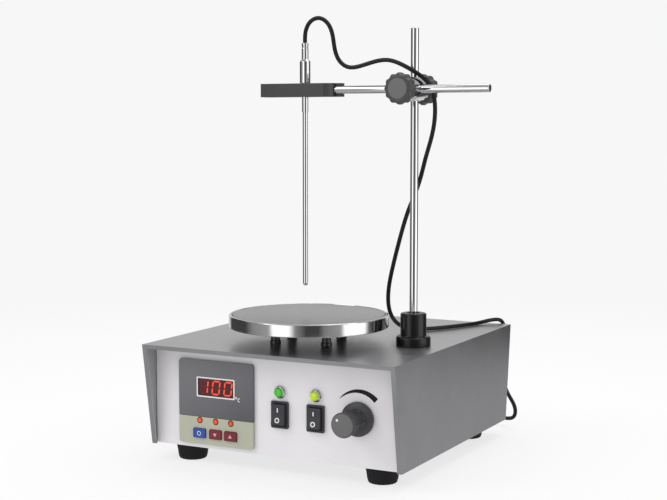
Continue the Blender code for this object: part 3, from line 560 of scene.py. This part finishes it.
def make_hot_plate():
    r = (plate_high.x - plate_low.x) / 2
    centre = Vector((plate_middle.x, plate_middle.y, 0))
    top, bottom = plate_high.z, plate_low.z
    wall, skin = 0.0017, 0.0022
    ledge, disc = r - 0.0023, r - 0.0031  # the rim's inner edge and the face's outer one, beside the seam
    side = [(r - wall, bottom), (r - 0.0004, bottom, 0.0003), (r, bottom + 0.0006, 0.0003),
            (r, top - 0.0007, 0.0006), (r - 0.0006, top, 0.0006), (r - 0.0021, top, 0.0001),
            (ledge, top - 0.00035, 0.0001), (ledge, top - skin), (r - wall, top - skin)]
    turned("plate_rim", side, centre, UP, PLATE_SIDE, 160, closed=True, steps=6, replaces=["hot_plate"],
           slot="chrome")
    face = [(0, top - 0.0001), (disc + 0.0002, top - 0.0001, 0.0002), (disc, top - 0.0004, 0.0001),
            (disc, top - skin), (0, top - skin)]
    turned("plate_face", face, centre, UP, PLATE_FACE, 160, slot="chrome")
    groove = [(disc, top - 0.0009), (ledge, top - 0.0009), (ledge, top - skin), (disc, top - skin)]
    turned("plate_seam", groove, centre, UP, INK, 160, closed=True)
    for i in range(1, 5):
        low, high, middle = span(f"plate_post_{i}")
        rr = (high.x - low.x) / 2
        waist = rr - 0.0007
        profile = [(0, low.z), (rr, low.z, 0.0002), (rr, low.z + 0.0030, 0.0003),
                   (waist, low.z + 0.0034, 0.0003),
                   (waist, high.z - 0.0024, 0.0003), (rr, high.z - 0.0020, 0.0003), (rr, high.z), (0, high.z)]
        # the posts take the darkened steel, painted shade for their place under the plate
        turned(f"plate_post_{i}_turned", profile, Vector((middle.x, middle.y, 0)), UP, POST_STEEL_PAINTED_SHADE, 40,
               replaces=[f"plate_post_{i}"], slot="steel_sheet")


# ---- Front panel ----

SEGMENTS = {"0": "abcdef", "1": "bc", "8": "abcdefg"}


def make_digit(name, centre_x, centre_z, half_width, half_height, lean, y, shown):
    """Seven bars with pointed ends. The ones that aren't lit stay dimly visible."""
    w, h, t, parting = half_width, half_height, 0.00058, 0.0004
    runs = {"a": ((-w, h), (w, h)), "b": ((w, h), (w, 0)), "c": ((w, 0), (w, -h)), "d": ((-w, -h), (w, -h)),
            "e": ((-w, -h), (-w, 0)), "f": ((-w, 0), (-w, h)), "g": ((-w, 0), (w, 0))}
    for letter, (start, end) in runs.items():
        a, b = Vector(start), Vector(end)
        along = (b - a).normalized()
        side = Vector((-along.y, along.x)) * t
        a, b = a + along * parting, b - along * parting
        corners = [a, a + along * t + side, b - along * t + side, b, b - along * t - side,
                   a + along * t - side]
        outline = [(centre_x + p.x + p.y * lean, centre_z + p.y) for p in corners]
        finish = SEGMENT_LIT if letter in SEGMENTS[shown] else SEGMENT_DIM
        slab(f"{name}_{letter}", outline, "Y", y - 0.0002, y, finish, slot="red_window")


def make_controller():
    low, high, _ = span("controller_bezel")
    window_low, window_high, window_middle = span("display_window")
    face, back = low.y, high.y
    split = low.z + 0.0232
    corner, edge = 0.0026, 0.0007
    near_face = at_front(face)
    upper = softened([(low.x, split, 0.0003), (high.x, split, 0.0003), (high.x, high.z, corner),
                      (low.x, high.z, corner)], closed=True)
    lower = softened([(low.x, low.z, corner), (high.x, low.z, corner), (high.x, split - 0.0004, 0.0003),
                      (low.x, split - 0.0004, 0.0003)], closed=True)
    top_half = slab("bezel_upper", upper, "Y", face, back, BEZEL_PAINTED_LIGHT, bevel=edge, only=near_face,
                    replaces=["controller_bezel"], slot="grey_plastic")
    bottom_half = slab("bezel_lower", lower, "Y", face, back, BEIGE, bevel=edge, only=near_face,
                       slot="grey_plastic")
    rim, border_width = GAP, 0.0011
    left, right = window_low.x - rim + border_width, window_high.x + rim - border_width
    bottom, top = window_low.z - rim + border_width, window_high.z + rim - border_width
    opening = rectangle(left, right, bottom, top, 0.0005)
    carve(top_half, slab("window_cut", opening, "Y", face - THROUGH, back + THROUGH, STEEL, body=None))
    cuts = []
    for name in ("key_set", "key_down", "key_up"):
        a, b, _ = span(name)
        outline = rectangle(a.x - rim, b.x + rim, a.z - rim, b.z + rim, 0.0008)
        cuts.append(slab(f"{name}_cut", outline, "Y", face - THROUGH, back + THROUGH, STEEL, body=None))
    carve(bottom_half, *cuts)

    outer = rectangle(left - border_width, right + border_width, bottom - border_width, top + border_width,
                      0.0010)
    border = slab("window_frame", outer, "Y", face - 0.0003, face + 0.0006, MARK_WHITE, bevel=0.0002,
                  only=near_face)
    carve(border, slab("frame_cut", opening, "Y", face - THROUGH, back + THROUGH, STEEL, body=None))
    pane = rectangle(left + 0.0001, right - 0.0001, bottom + 0.0001, top - 0.0001, 0.0004)
    slab("window_pane", pane, "Y", face + 0.0007, window_high.y, WINDOW_RED, bevel=0.0001, only=near_face,
         replaces=["display_window"], slot="red_window")
    pitch = (right - left) / 3
    for i, shown in enumerate("100"):
        x = left + pitch * (i + 0.5)
        make_digit(f"digit_{i}", x, window_middle.z, 0.0033, 0.0054, 0.12, face + 0.0007, shown)

    degree = Vector((window_high.x + 0.0022, face - 0.0001, window_low.z + 0.0002))
    ring_mark("degree_ring", degree + Vector((-0.0004, 0, 0.0014)), 0.0007, 0.0005, MARK_WHITE, thick=0.0002)
    half_width, half_height, stroke = 0.0013, 0.0017, 0.0006
    letter = (degree.x + 0.0023, degree.z - 0.0002)
    outer = arc(letter, (half_width, half_height), 45, 315, 24)
    inner = arc(letter, (half_width - stroke, half_height - stroke), 45, 315, 24)
    slab("celsius_mark", [*outer, *reversed(inner)], "Y", face - 0.0003, face, MARK_WHITE)

    keys = (("key_set", "set_key", BLUE, "blue_key"), ("key_down", "down_key", MAROON, "maroon_key"),
            ("key_up", "up_key", MAROON, "maroon_key"))
    for name, body, finish, slot in keys:
        a, b, m = span(name)
        slab(f"{name}_cap", rectangle(a.x, b.x, a.z, b.z, 0.0007), "Y", a.y, b.y, finish, bevel=0.0005,
             only=at_front(a.y), body=body, replaces=[name], slot=slot)
        if name == "key_set":
            ring_mark("set_mark", Vector((m.x, a.y + 0.00012, m.z)), 0.0016, 0.0005, MARK_WHITE, body=body)
        else:
            s = -0.0012 if name == "key_down" else 0.0012
            outline = [(m.x - 0.0018, m.z - s), (m.x + 0.0018, m.z - s), (m.x, m.z + s * 1.4)]
            slab(f"{name}_mark", outline, "Y", a.y - 0.00008, a.y + 0.0002, PINK_MARK, body=body)
        light = Vector((m.x, face, b.z + 0.0069))
        turned(f"{name}_led",
               [(0.0020, -0.0003), (0.0020, 0.0002, 0.0002), (0.0015, 0.0010, 0.0008), (0, 0.0012)],
               light, FRONT, LED_RED, 32, slot="red_window")
        ring_mark(f"{name}_led_seat", light + Vector((0, 0.0001, 0)), 0.00235, 0.0006, INK, thick=0.00025)


SWITCH_TILT = math.radians(5)  # at rest, with the upper half pressed in


def make_switches():
    for name in ("heat", "stir"):
        low, high, middle = span(f"{name}_switch_body")
        face = low.y
        near_face = at_front(face)
        flange = slab(f"{name}_switch_frame", rectangle(low.x, high.x, low.z, high.z, 0.0010), "Y", face,
                      panel_low.y - GAP, SWITCH_BLACK, bevel=0.0006, only=near_face,
                      replaces=[f"{name}_switch_body"], slot="black_plastic")
        case, well = (rectangle(low.x + t, high.x - t, low.z + t, high.z - t, 0.0006) for t in (0.0011,
                                                                                                0.0017))
        carve(flange, slab("case", case, "Y", face + 0.0006, high.y, SWITCH_BLACK, body=None),
              operation="UNION")
        carve(flange, slab("well", well, "Y", face - THROUGH, panel_low.y + 0.0087, SWITCH_BLACK, body=None))

        body = f"{name}_switch"
        rock_low, rock_high, _ = span(f"{name}_rocker")
        pivot_y = panel_low.y + 0.0022
        half, tip, dip, shallow, deep = 0.0083, -0.0076, -0.0069, -0.0012, 0.0035
        c, s = math.cos(SWITCH_TILT), math.sin(SWITCH_TILT)
        turn = lambda y, z, c=c, s=s: Vector((0, pivot_y + y * c + z * s, middle.z - y * s + z * c))
        flat = [(tip, half), (dip, 0.0004), (dip, -0.0004), (tip, -half), (shallow, -half), (deep, -0.0025),
                (deep, 0.0025), (shallow, half)]
        slab(f"{name}_rocker_cap", [turn(y, z).yz for y, z in flat], "X", rock_low.x, rock_high.x,
             SWITCH_BLACK,
             bevel=0.00055, segments=4, body=body, replaces=[f"{name}_rocker"], slot="black_plastic")

        for end, distance in ((half, 0.0036), (-half, 0.0046)):
            start = turn(dip, 0.0) + RIGHT * (middle.x - 0.0003)
            along = (turn(tip, end) - turn(dip, 0.0)).normalized()
            outward = along.cross(RIGHT) if end > 0 else RIGHT.cross(along)
            centre = start + along * distance
            if end < 0:
                ring_mark(f"{name}_mark_off", centre - outward * 0.0002, 0.0017, 0.0009, MARK_WHITE,
                          direction=outward, thick=0.00026, body=body)
                continue
            bar = slab(f"{name}_mark_on", rectangle(-0.00045, 0.00045, -0.0017, 0.0017, 0.0002), "Z", -0.0002,
                       0.00006, MARK_WHITE, body=body)
            bar.data.transform(Matrix.Translation(centre) @ Matrix((RIGHT, along,
                                                                    outward)).transposed().to_4x4())


def make_lamps():
    for name, finish, slot in (("heat", LENS_GREEN, "green_lens"), ("stir", LENS_YELLOW, "yellow_lens")):
        low, _, middle = span(f"{name}_lamp_bezel")
        centre = Vector((middle.x, panel_low.y, middle.z))
        nose = panel_low.y - low.y
        bezel = [(0.0037, -0.0100), (0.0040, -0.0100), (0.0040, 0.0003), (0.0052, 0.0003, 0.0002),
                 (0.0052, 0.0014, 0.0004), (0.0045, 0.0021, 0.0003), (0.0042, 0.0023, 0.0002),
                 (0.0042, nose - 0.0003, 0.0003), (0.0039, nose, 0.0002), (0.0037, nose - 0.0005, 0.0002)]
        turned(f"{name}_lamp_ring", bezel, centre, FRONT, CHROME, 64, closed=True,
               replaces=[f"{name}_lamp_bezel"], slot="chrome")
        tip = panel_low.y - span(f"{name}_lamp_lens")[0].y
        dome = [(0, -0.0080), (0.0034, -0.0080), (0.0034, tip - 0.0010, 0.0006),
                (0.0026, tip - 0.0002, 0.0008), (0.0010, tip - 0.00002, 0.0010), (0, tip)]
        turned(f"{name}_lamp_dome", dome, centre, FRONT, finish, 48, replaces=[f"{name}_lamp_lens"],
               slot=slot)


def make_speed_knob():
    low, high, middle = span("speed_knob")
    centre = Vector((middle.x, panel_low.y, middle.z))
    nose, rim = panel_low.y - low.y, (high.x - low.x) / 2
    flutes, flute_depth, flute_start, flute_end = 8, 0.0019, 0.0068, nose - 0.0022
    foot_radius, head_radius = 0.0090, 0.0099

    def reach(angle, radius, along):
        if radius < 0.0080 or not flute_start < along < flute_end:
            return radius
        fade = min(1.0, (along - flute_start) / 0.002, (flute_end - along) / 0.0015)
        return radius - flute_depth * fade * abs(math.sin(flutes * angle / 2)) ** 0.6

    skirt = [(0.0045, 0.0006), (rim - 0.0003, 0.0006, 0.0003), (rim, 0.0012, 0.0004), (rim, 0.0040, 0.0004),
             (rim - 0.0008, 0.0045, 0.0005), (0.0108, 0.0055, 0.0010)]
    taper = (head_radius - foot_radius) / (flute_end - flute_start)
    shank = [(foot_radius, 0.0058, 0.0006)]
    for k in range(17):
        along = flute_start + (flute_end - flute_start) * k / 16
        shank.append((foot_radius + taper * (along - flute_start), along))
    head = [(head_radius, nose - 0.0018, 0.0003), (head_radius, nose - 0.0010, 0.0004),
            (0.0092, nose - 0.0002, 0.0004)]
    bore = [(0, nose - 0.0002), (0, nose - 0.0065), (0.0032, nose - 0.0065), (0.0032, 0.0066),
            (0.0045, 0.0066)]
    turned("speed_knob_body", [*skirt, *shank, *head, *bore], centre, FRONT, KNOB_GREY, 128, closed=True,
           reach=reach, body="speed", replaces=["speed_knob"], slot="black_plastic")
    face = [(0, -0.0006), (0.0090, -0.0006), (0.0090, -0.0001, 0.0001), (0, -0.0001)]
    turned("speed_knob_face", face, centre + FRONT * nose, FRONT, FACE_GREY, 64, body="speed",
           slot="black_plastic")
    pointer, dot_from_middle = math.radians(50), 0.0058
    dot = centre + FRONT * nose + Vector((-math.sin(pointer), 0, math.cos(pointer))) * dot_from_middle
    turned("speed_pointer_dot", [(0, -0.0004), (0.0010, -0.0004), (0.0010, 0), (0, 0)], dot, FRONT,
           MARK_WHITE, 24, body="speed")

    middle_x, middle_z = middle.x + 0.0009, middle.z + 0.0005
    first, last, steps = math.radians(142), math.radians(46.5), 40
    outer_radius, thick_end = 0.0226, 0.0044
    outer, inner = [], []
    for k in range(steps + 1):
        a = first + (last - first) * k / steps
        inner_radius = outer_radius - 0.0001 - thick_end * (k / steps) ** 0.7
        outer.append((middle_x + outer_radius * math.cos(a), middle_z + outer_radius * math.sin(a)))
        inner.append((middle_x + inner_radius * math.cos(a), middle_z + inner_radius * math.sin(a)))
    slab("speed_scale", [*outer, *reversed(inner)], "Y", panel_low.y - 0.00012, panel_low.y + 0.0002, INK)


# ---- Stand ----


LOBES, LOBE_DEPTH, LOBE_ROOT = 12, 0.0011, 0.0096  # round the clamp knobs


def rod_profile(length, radius):
    return [(0, 0), (radius, 0, 0.0006), (radius, length, 0.0006), (0, length)]


def make_stand():
    base = Vector((rod_middle.x, rod_middle.y, 0))
    low, high, _ = span("rod_collar")
    flange, neck, bore = (high.x - low.x) / 2, 0.0107, ROD_BORE
    foot, top = low.z, high.z
    collar = [(bore, foot), (flange, foot, 0.0003), (flange, foot + 0.0062, 0.0008),
              (flange - 0.0012, foot + 0.0075, 0.0008), (neck, foot + 0.0078, 0.0006),
              (neck, top - 0.0004, 0.0016), (neck - 0.0022, top, 0.0010), (bore + 0.0022, top, 0.0008),
              (bore, top - 0.0022, 0.0006)]
    turned("collar_body", collar, base, UP, GLOSS_BLACK, 96, closed=True, replaces=["rod_collar"],
           slot="black_plastic")
    r = (rod_high.x - rod_low.x) / 2
    turned("support_rod_bar", rod_profile(rod_high.z - rod_low.z, r), base + UP * rod_low.z, UP, CHROME, 64,
           replaces=["support_rod"], slot="chrome")

    cross_low, cross_high, cross_middle = span("cross_rod")
    start = Vector((cross_low.x, cross_middle.y, cross_middle.z))
    turned("cross_rod_bar", rod_profile(cross_high.x - cross_low.x, (cross_high.z - cross_low.z) / 2), start,
           RIGHT, CHROME, 64, body="arm", replaces=["cross_rod"], slot="chrome")

    boss_low, boss_high, boss_middle = span("boss_head")
    r, length = (boss_high.x - boss_low.x) / 2, boss_high.y - boss_low.y
    start = Vector((boss_middle.x, boss_low.y, boss_middle.z))
    profile = [(0, 0), (r, 0, 0.0009), (r, length, 0.0009), (0, length)]
    boss = turned("boss_body", profile, start, BACK, CHROME, 96, body="boss", replaces=["boss_head"],
                  slot="chrome")
    carve(boss, drill("rod_bore", ROD_BORE, Vector((rod_middle.x, rod_middle.y, boss_middle.z)), UP, 0.05),
          drill("cross_bore", ROD_BORE, Vector((boss_middle.x, cross_middle.y, cross_middle.z)), RIGHT, 0.05),
          drill("front_bore", 0.0031, start, BACK, 0.022),
          drill("back_bore", 0.0031, start + BACK * length, BACK, 0.018))

    for name, direction in (("front", FRONT), ("rear", BACK)):
        low, high, middle = span(f"{name}_clamp_knob")
        radius, thick = (high.x - low.x) / 2, high.y - low.y
        seat = Vector((middle.x, high.y if name == "front" else low.y, middle.z))

        def reach(angle, at_radius, along, radius=radius):
            share = max(0.0, min(1.0, (at_radius - LOBE_ROOT) / (radius - LOBE_ROOT)))
            return at_radius - LOBE_DEPTH * share * (0.5 - 0.5 * math.cos(LOBES * angle))

        dish = thick - 0.0006
        hub = [(0.0029, 0), (0.0092, 0, 0.0005), (radius - 0.0012, 0.0010, 0.0012), (radius, 0.0032, 0.0018),
               (radius, thick - 0.0030, 0.0018), (radius - 0.0016, thick - 0.0008, 0.0012),
               (0.0094, thick - 0.0003, 0.0004), (0.0088, dish, 0.0003), (0.0082, dish), (0, dish),
               (0, 0.0093), (0.0029, 0.0093)]
        turned(f"{name}_knob_grip", hub, seat, direction, KNOB_GREY, 144, closed=True, reach=reach,
               body=f"{name}_knob", replaces=[f"{name}_clamp_knob"], slot="grey_plastic")
        disc = [(0, -0.0001), (0.0083, -0.0001), (0.0083, 0.0004, 0.0003), (0, 0.0006)]
        turned(f"{name}_knob_face", disc, seat + direction * dish, direction, FACE_GREY, 96,
               body=f"{name}_knob", slot="grey_plastic")


def make_probe():
    low, high, middle = span("probe_holder")
    probe_low, probe_high, probe_middle = span("probe_sleeve")
    outline = softened([(low.x, low.y, 0.0007), (high.x, low.y, 0.0007), (high.x, high.y, 0.0007),
                        (low.x, high.y, 0.0007)], closed=True)
    bar = slab("holder_bar", outline, "Z", low.z, high.z, CHARCOAL, bevel=0.0005, body="arm",
               replaces=["probe_holder"], slot="black_plastic")
    stop, hollow_depth, hollow_radius, past = high.x - 0.0052, 0.0026, 0.0121, 0.002
    hollow = (stop, low.y + hollow_depth - hollow_radius)
    scoop = arc(hollow, (hollow_radius, hollow_radius), 135, 90, 12)
    shape = [(scoop[0][0], low.y - past), *scoop, (stop, middle.y), (high.x + past, middle.y),
             (high.x + past, low.y - past)]
    carve(bar, slab("scoop", shape, "Z", low.z - past, high.z + past, CHARCOAL, body=None),
          drill("rod_bore", ROD_BORE, Vector((high.x, middle.y, middle.z)), RIGHT, 0.033),
          drill("probe_bore", 0.0030, Vector((probe_middle.x, probe_middle.y, middle.z)), UP, 0.03))

    axis = Vector((probe_middle.x, probe_middle.y, 0))
    seat = high.z + GAP
    r = (probe_high.x - probe_low.x) / 2
    shoulder, neck, top = 0.3323, 0.00288, probe_high.z
    crimp = neck - 0.00022
    sleeve = [(0.0024, probe_low.z), (0.0027, probe_low.z, 0.0002), (0.0027, seat), (r, seat, 0.0003),
              (r, shoulder - 0.0008, 0.0005), (neck + 0.0007, shoulder + 0.0006, 0.0005),
              (neck, shoulder + 0.0010, 0.0004), (neck, top - 0.0046, 0.0002), (crimp, top - 0.0042, 0.0002),
              (crimp, top - 0.0034, 0.0002), (neck, top - 0.0030, 0.0002), (neck, top, 0.0004),
              (0.0018, top, 0.0002), (0.0018, top - 0.0010),
              (0, top - 0.0010), (0, probe_low.z + 0.0204), (0.0024, probe_low.z + 0.0204)]
    turned("sleeve_barrel", sleeve, axis, UP, CHROME, 64, closed=True, body="probe",
           replaces=["probe_sleeve"], slot="chrome")
    tube_low, tube_high, _ = span("probe_tube")
    r = (tube_high.x - tube_low.x) / 2
    rod = [(0, tube_low.z), (r * 0.6, tube_low.z, 0.0004), (r, tube_low.z + r * 0.8, 0.0010),
           (r, tube_high.z), (0, tube_high.z)]
    turned("probe_tube_rod", rod, axis, UP, CHROME, 48, body="probe", replaces=["probe_tube"], slot="chrome")


# ---- Rear panel ----


def make_rear():
    low, high, middle = span("power_inlet")
    panel = rear_high.y
    face = lambda e: min(v.co.y for v in e.verts) > high.y - SAME_PLACE
    flange = slab("inlet_flange", rectangle(low.x, high.x, low.z, high.z, 0.0035), "Y", panel + GAP, high.y,
                  SWITCH_BLACK, bevel=0.0006, only=face, replaces=["power_inlet"], slot="black_plastic")
    body = slab("inlet_body", around(middle, 0.0150, 0.0115, 0.002), "Y", low.y, high.y - 0.0008,
                SWITCH_BLACK, body=None)
    carve(flange, body, operation="UNION")
    half_w, half_h, cut, rounding = 0.0120, 0.0080, 0.0042, 0.0008
    corners = [(-half_w, -half_h), (half_w, -half_h), (half_w, half_h - cut), (half_w - cut, half_h),
               (-half_w + cut, half_h), (-half_w, half_h - cut)]
    well = softened([(middle.x + u, middle.z + v, rounding) for u, v in corners], closed=True)
    carve(flange, slab("inlet_well", well, "Y", panel - 0.0150, high.y + THROUGH, SWITCH_BLACK, body=None))
    for i, (dx, dz) in enumerate(((-0.0070, -0.002), (0.0, 0.002), (0.0070, -0.002))):
        blade = around(middle + Vector((dx, 0, dz)), 0.001, 0.002, 0.0004)
        slab(f"inlet_pin_{i}", blade, "Y", panel - 0.0150, panel - 0.0015, TURNED, bevel=0.0003,
             slot="chrome")
    for side in (-1, 1):
        place = Vector((middle.x + side * 0.0200, high.y - 0.0002, middle.z))
        screw_head(f"inlet_screw_{side + 1}", place, BACK, 0.0024)

    _, _, middle = span("sensor_socket")
    centre = Vector((middle.x, panel, middle.z))
    socket = [(0.0038, 0.0090), (0.0042, 0.0090), (0.0060, 0.0090, 0.0004), (0.0060, 0.0030, 0.0002),
              (0.0085, 0.0024, 0.0004), (0.0085, 0.0003), (0.0060, 0.0003), (0.0060, -0.0120), (0, -0.0120),
              (0, -0.0020), (0.0038, -0.0020)]
    turned("socket_shell", socket, centre, BACK, TURNED, 64, closed=True, replaces=["sensor_socket"],
           slot="chrome")

    _, end, _ = span("cord_plug")
    tip = end.y - panel

    def knurl(angle, radius, along):
        return radius - (0.00022 * (0.5 - 0.5 * math.cos(28 * angle)) if radius > 0.0073 else 0.0)

    body = [(0, 0.0010), (0.0034, 0.0010), (0.0034, 0.0094), (0.0070, 0.0094, 0.0003),
            (0.0075, 0.0102, 0.0004),
            (0.0075, 0.0188, 0.0004), (0.0068, 0.0200, 0.0005), (0.0042, 0.0204, 0.0004)]
    ribs = []
    start, count = 0.0210, 6
    pitch = (tip - start) / count
    for k in range(count):
        r = 0.0038 - 0.0011 * k / (count - 1)
        z = start + pitch * k
        groove = r - 0.0005
        ribs += [(r, z, 0.0002), (r, z + pitch * 0.6, 0.0002), (groove, z + pitch * 0.66),
                 (groove, z + pitch * 0.95)]
    piece = turned("plug_body", [*body, *ribs, (0.0019, tip), (0, tip)], centre, BACK, GLOSS_BLACK, 112,
                   reach=knurl, replaces=["cord_plug"], slot="black_plastic")
    return [piece]


# ---- CAD nodes that stay, with their own finishes ----

KEPT = {
    PAINT: ["front_panel", "rear_panel"],
    INNER_STEEL: ["base_pan", "plate_shield", "motor_bracket", "rod_nut", "front_clamp_screw",
                  "rear_clamp_screw"],
    LACQUER: ["motor_body", "speed_pot", "heater_disc"],
    LAMINATE: ["transformer"],
    BOARD: ["control_board"],
    CHARCOAL: ["controller_case", "magnet_holder"],
    TURNED: ["motor_shaft", "magnet_a", "magnet_b", "pot_shaft"],
}


def paint_kept_nodes():
    for finish, names in KEPT.items():
        for name in names:
            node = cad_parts[name]
            node.data.materials.clear()
            node.data.materials.append(finish)


# ---- Studio ----

BACKGROUND = 0.93
ROOM_LIGHT = (0.80, 0.80, 0.82)
REFLECTED_ROOM = (0.42, 0.42, 0.43)
REFLECTED_FLOOR = (0.44, 0.44, 0.45)
FLOOR_RADIUS = 6.0
FLOOR_PAPER = (0.22, 0.22, 0.22, 1)
FLOOR_GLOW = 0.74
FLOOR_FADE = (0.35, 1.1)  # the distances from the object at which the shadowed paper starts and ends its fade
LIGHT_AIM = Vector((0, 0, 0.12))


def make_world():
    """One white for the view, one level for the light it gives and a darker one for reflections."""
    world = bpy.data.worlds.new("studio")
    bpy.context.scene.world = world
    world.use_nodes = True
    tree = world.node_tree
    rays = node(tree, "LightPath")
    light = tree.nodes["Background"]
    light.inputs["Color"].default_value = (*ROOM_LIGHT, 1)
    for ray, color in (("Is Glossy Ray", REFLECTED_ROOM), ("Is Camera Ray", (BACKGROUND,) * 3)):
        other = node(tree, "Background", Color=(*color, 1))
        light = node(tree, "MixShader", ("Fac", rays.outputs[ray]), (1, light.outputs[0]),
                     (2, other.outputs[0]))
    tree.links.new(light.outputs[0], tree.nodes["World Output"].inputs["Surface"])


def stand_on_stage(name, shape, finish, place=(0, 0, 0)):
    mesh = bpy.data.meshes.new(name)
    shape.to_mesh(mesh)
    shape.free()
    mesh.materials.append(finish)
    piece = bpy.data.objects.new(name, mesh)
    piece.location = place
    bpy.context.scene.collection.objects.link(piece)
    return piece


def make_floor():
    """A pale floor that takes soft shadows near the object and fades to the background's white further out.
    Reflections show it darker."""
    shape = bmesh.new()
    bmesh.ops.create_circle(shape, cap_ends=True, segments=96, radius=FLOOR_RADIUS)
    made, tree, shader = material("floor_paper")
    for socket, value in (("Base Color", FLOOR_PAPER), ("Roughness", 0.9), ("Specular IOR Level", 0.0),
                          ("Emission Color", (1, 1, 1, 1)), ("Emission Strength", FLOOR_GLOW)):
        shader.inputs[socket].default_value = value
    glow = node(tree, "Emission", Color=(*(BACKGROUND,) * 3, 1))
    here = node(tree, "TexCoord").outputs["Object"]
    far = rescaled(tree, radius_of(tree, here, Vector()), 0.0, 1.0, *FLOOR_FADE)
    paper = node(tree, "MixShader", ("Fac", far), (1, shader.outputs[0]), (2, glow.outputs[0]))
    reflected = node(tree, "Emission", Color=(*REFLECTED_FLOOR, 1))
    glossy = node(tree, "LightPath").outputs["Is Glossy Ray"]
    last = node(tree, "MixShader", ("Fac", glossy), (1, paper.outputs[0]), (2, reflected.outputs[0]))
    tree.links.new(last.outputs[0], tree.nodes["Material Output"].inputs["Surface"])
    stand_on_stage("floor", shape, made, (0, 0, -0.0002))


# The ring of screens that polished metal reflects: how bright it is at each bearing, in degrees from the
# camera's side, to the left below zero and to the right above it.
RING_RADIUS, RING_HEIGHT, RING_PARTS = 0.60, 0.50, 180
SCREENS = [(-180, 0.70), (-145, 0.70), (-135, 0.06), (-92, 0.06), (-78, 0.30), (-54, 0.40), (-48, 1.5),
           (-28, 1.5),
           (-20, 0.30), (-6, 0.06), (10, 0.06), (18, 0.25), (40, 0.40), (48, 1.7), (78, 1.7), (88, 0.20),
           (96, 0.06), (135, 0.06), (145, 0.70), (180, 0.70)]
CAMERA_BEARING = 27.5


def make_reflector_ring():
    """Screens round the object that only its reflections show."""
    shape = bmesh.new()
    circle = arc((0, 0), (RING_RADIUS, RING_RADIUS), 0, 360, RING_PARTS)[:-1]
    lower, upper = ([shape.verts.new((x, y, z)) for x, y in circle] for z in (0, RING_HEIGHT))
    for i in range(RING_PARTS):
        j = (i + 1) % RING_PARTS
        shape.faces.new((lower[i], lower[j], upper[j], upper[i]))
    made, tree, shader = material("screens")
    tree.nodes.remove(shader)
    color = node(tree, "VertexColor")
    color.layer_name = "screen"
    glow = node(tree, "Emission", ("Color", color.outputs["Color"]))
    tree.links.new(glow.outputs["Emission"], tree.nodes["Material Output"].inputs["Surface"])
    ring = stand_on_stage("reflector_ring", shape, made)
    level = ring.data.color_attributes.new("screen", "FLOAT_COLOR", "POINT")
    bearings, values = zip(*SCREENS)
    for vert in ring.data.vertices:
        bearing = math.degrees(math.atan2(vert.co.x, -vert.co.y)) - CAMERA_BEARING
        value = float(np.interp((bearing + 180) % 360 - 180, bearings, values))
        level.data[vert.index].color = (value, value, value, 1)
    ring.visible_camera = False
    ring.visible_diffuse = False
    ring.visible_transmission = False
    ring.visible_shadow = False


def make_light(name, place, size, power):
    data = bpy.data.lights.new(name, "AREA")
    data.shape = "RECTANGLE"
    data.size, data.size_y = size
    data.energy = power
    light = bpy.data.objects.new(name, data)
    light.location = place
    light.rotation_euler = (LIGHT_AIM - Vector(place)).to_track_quat("-Z", "Y").to_euler()
    bpy.context.scene.collection.objects.link(light)


def make_studio():
    bpy.context.scene.view_settings.view_transform = "Standard"
    make_world()
    make_floor()
    make_reflector_ring()
    make_light("key_light", (-1.1, -1.2, 1.5), (1.0, 1.0), 9.0)
    make_light("top_light", (0.2, 0.5, 1.7), (1.4, 1.0), 9.0)


PLUG_PIECES = make_rear()
make_cord()
make_housing()
make_feet()
make_hot_plate()
make_controller()
make_switches()
make_lamps()
make_speed_knob()
make_stand()
make_probe()
paint_kept_nodes()
make_studio()
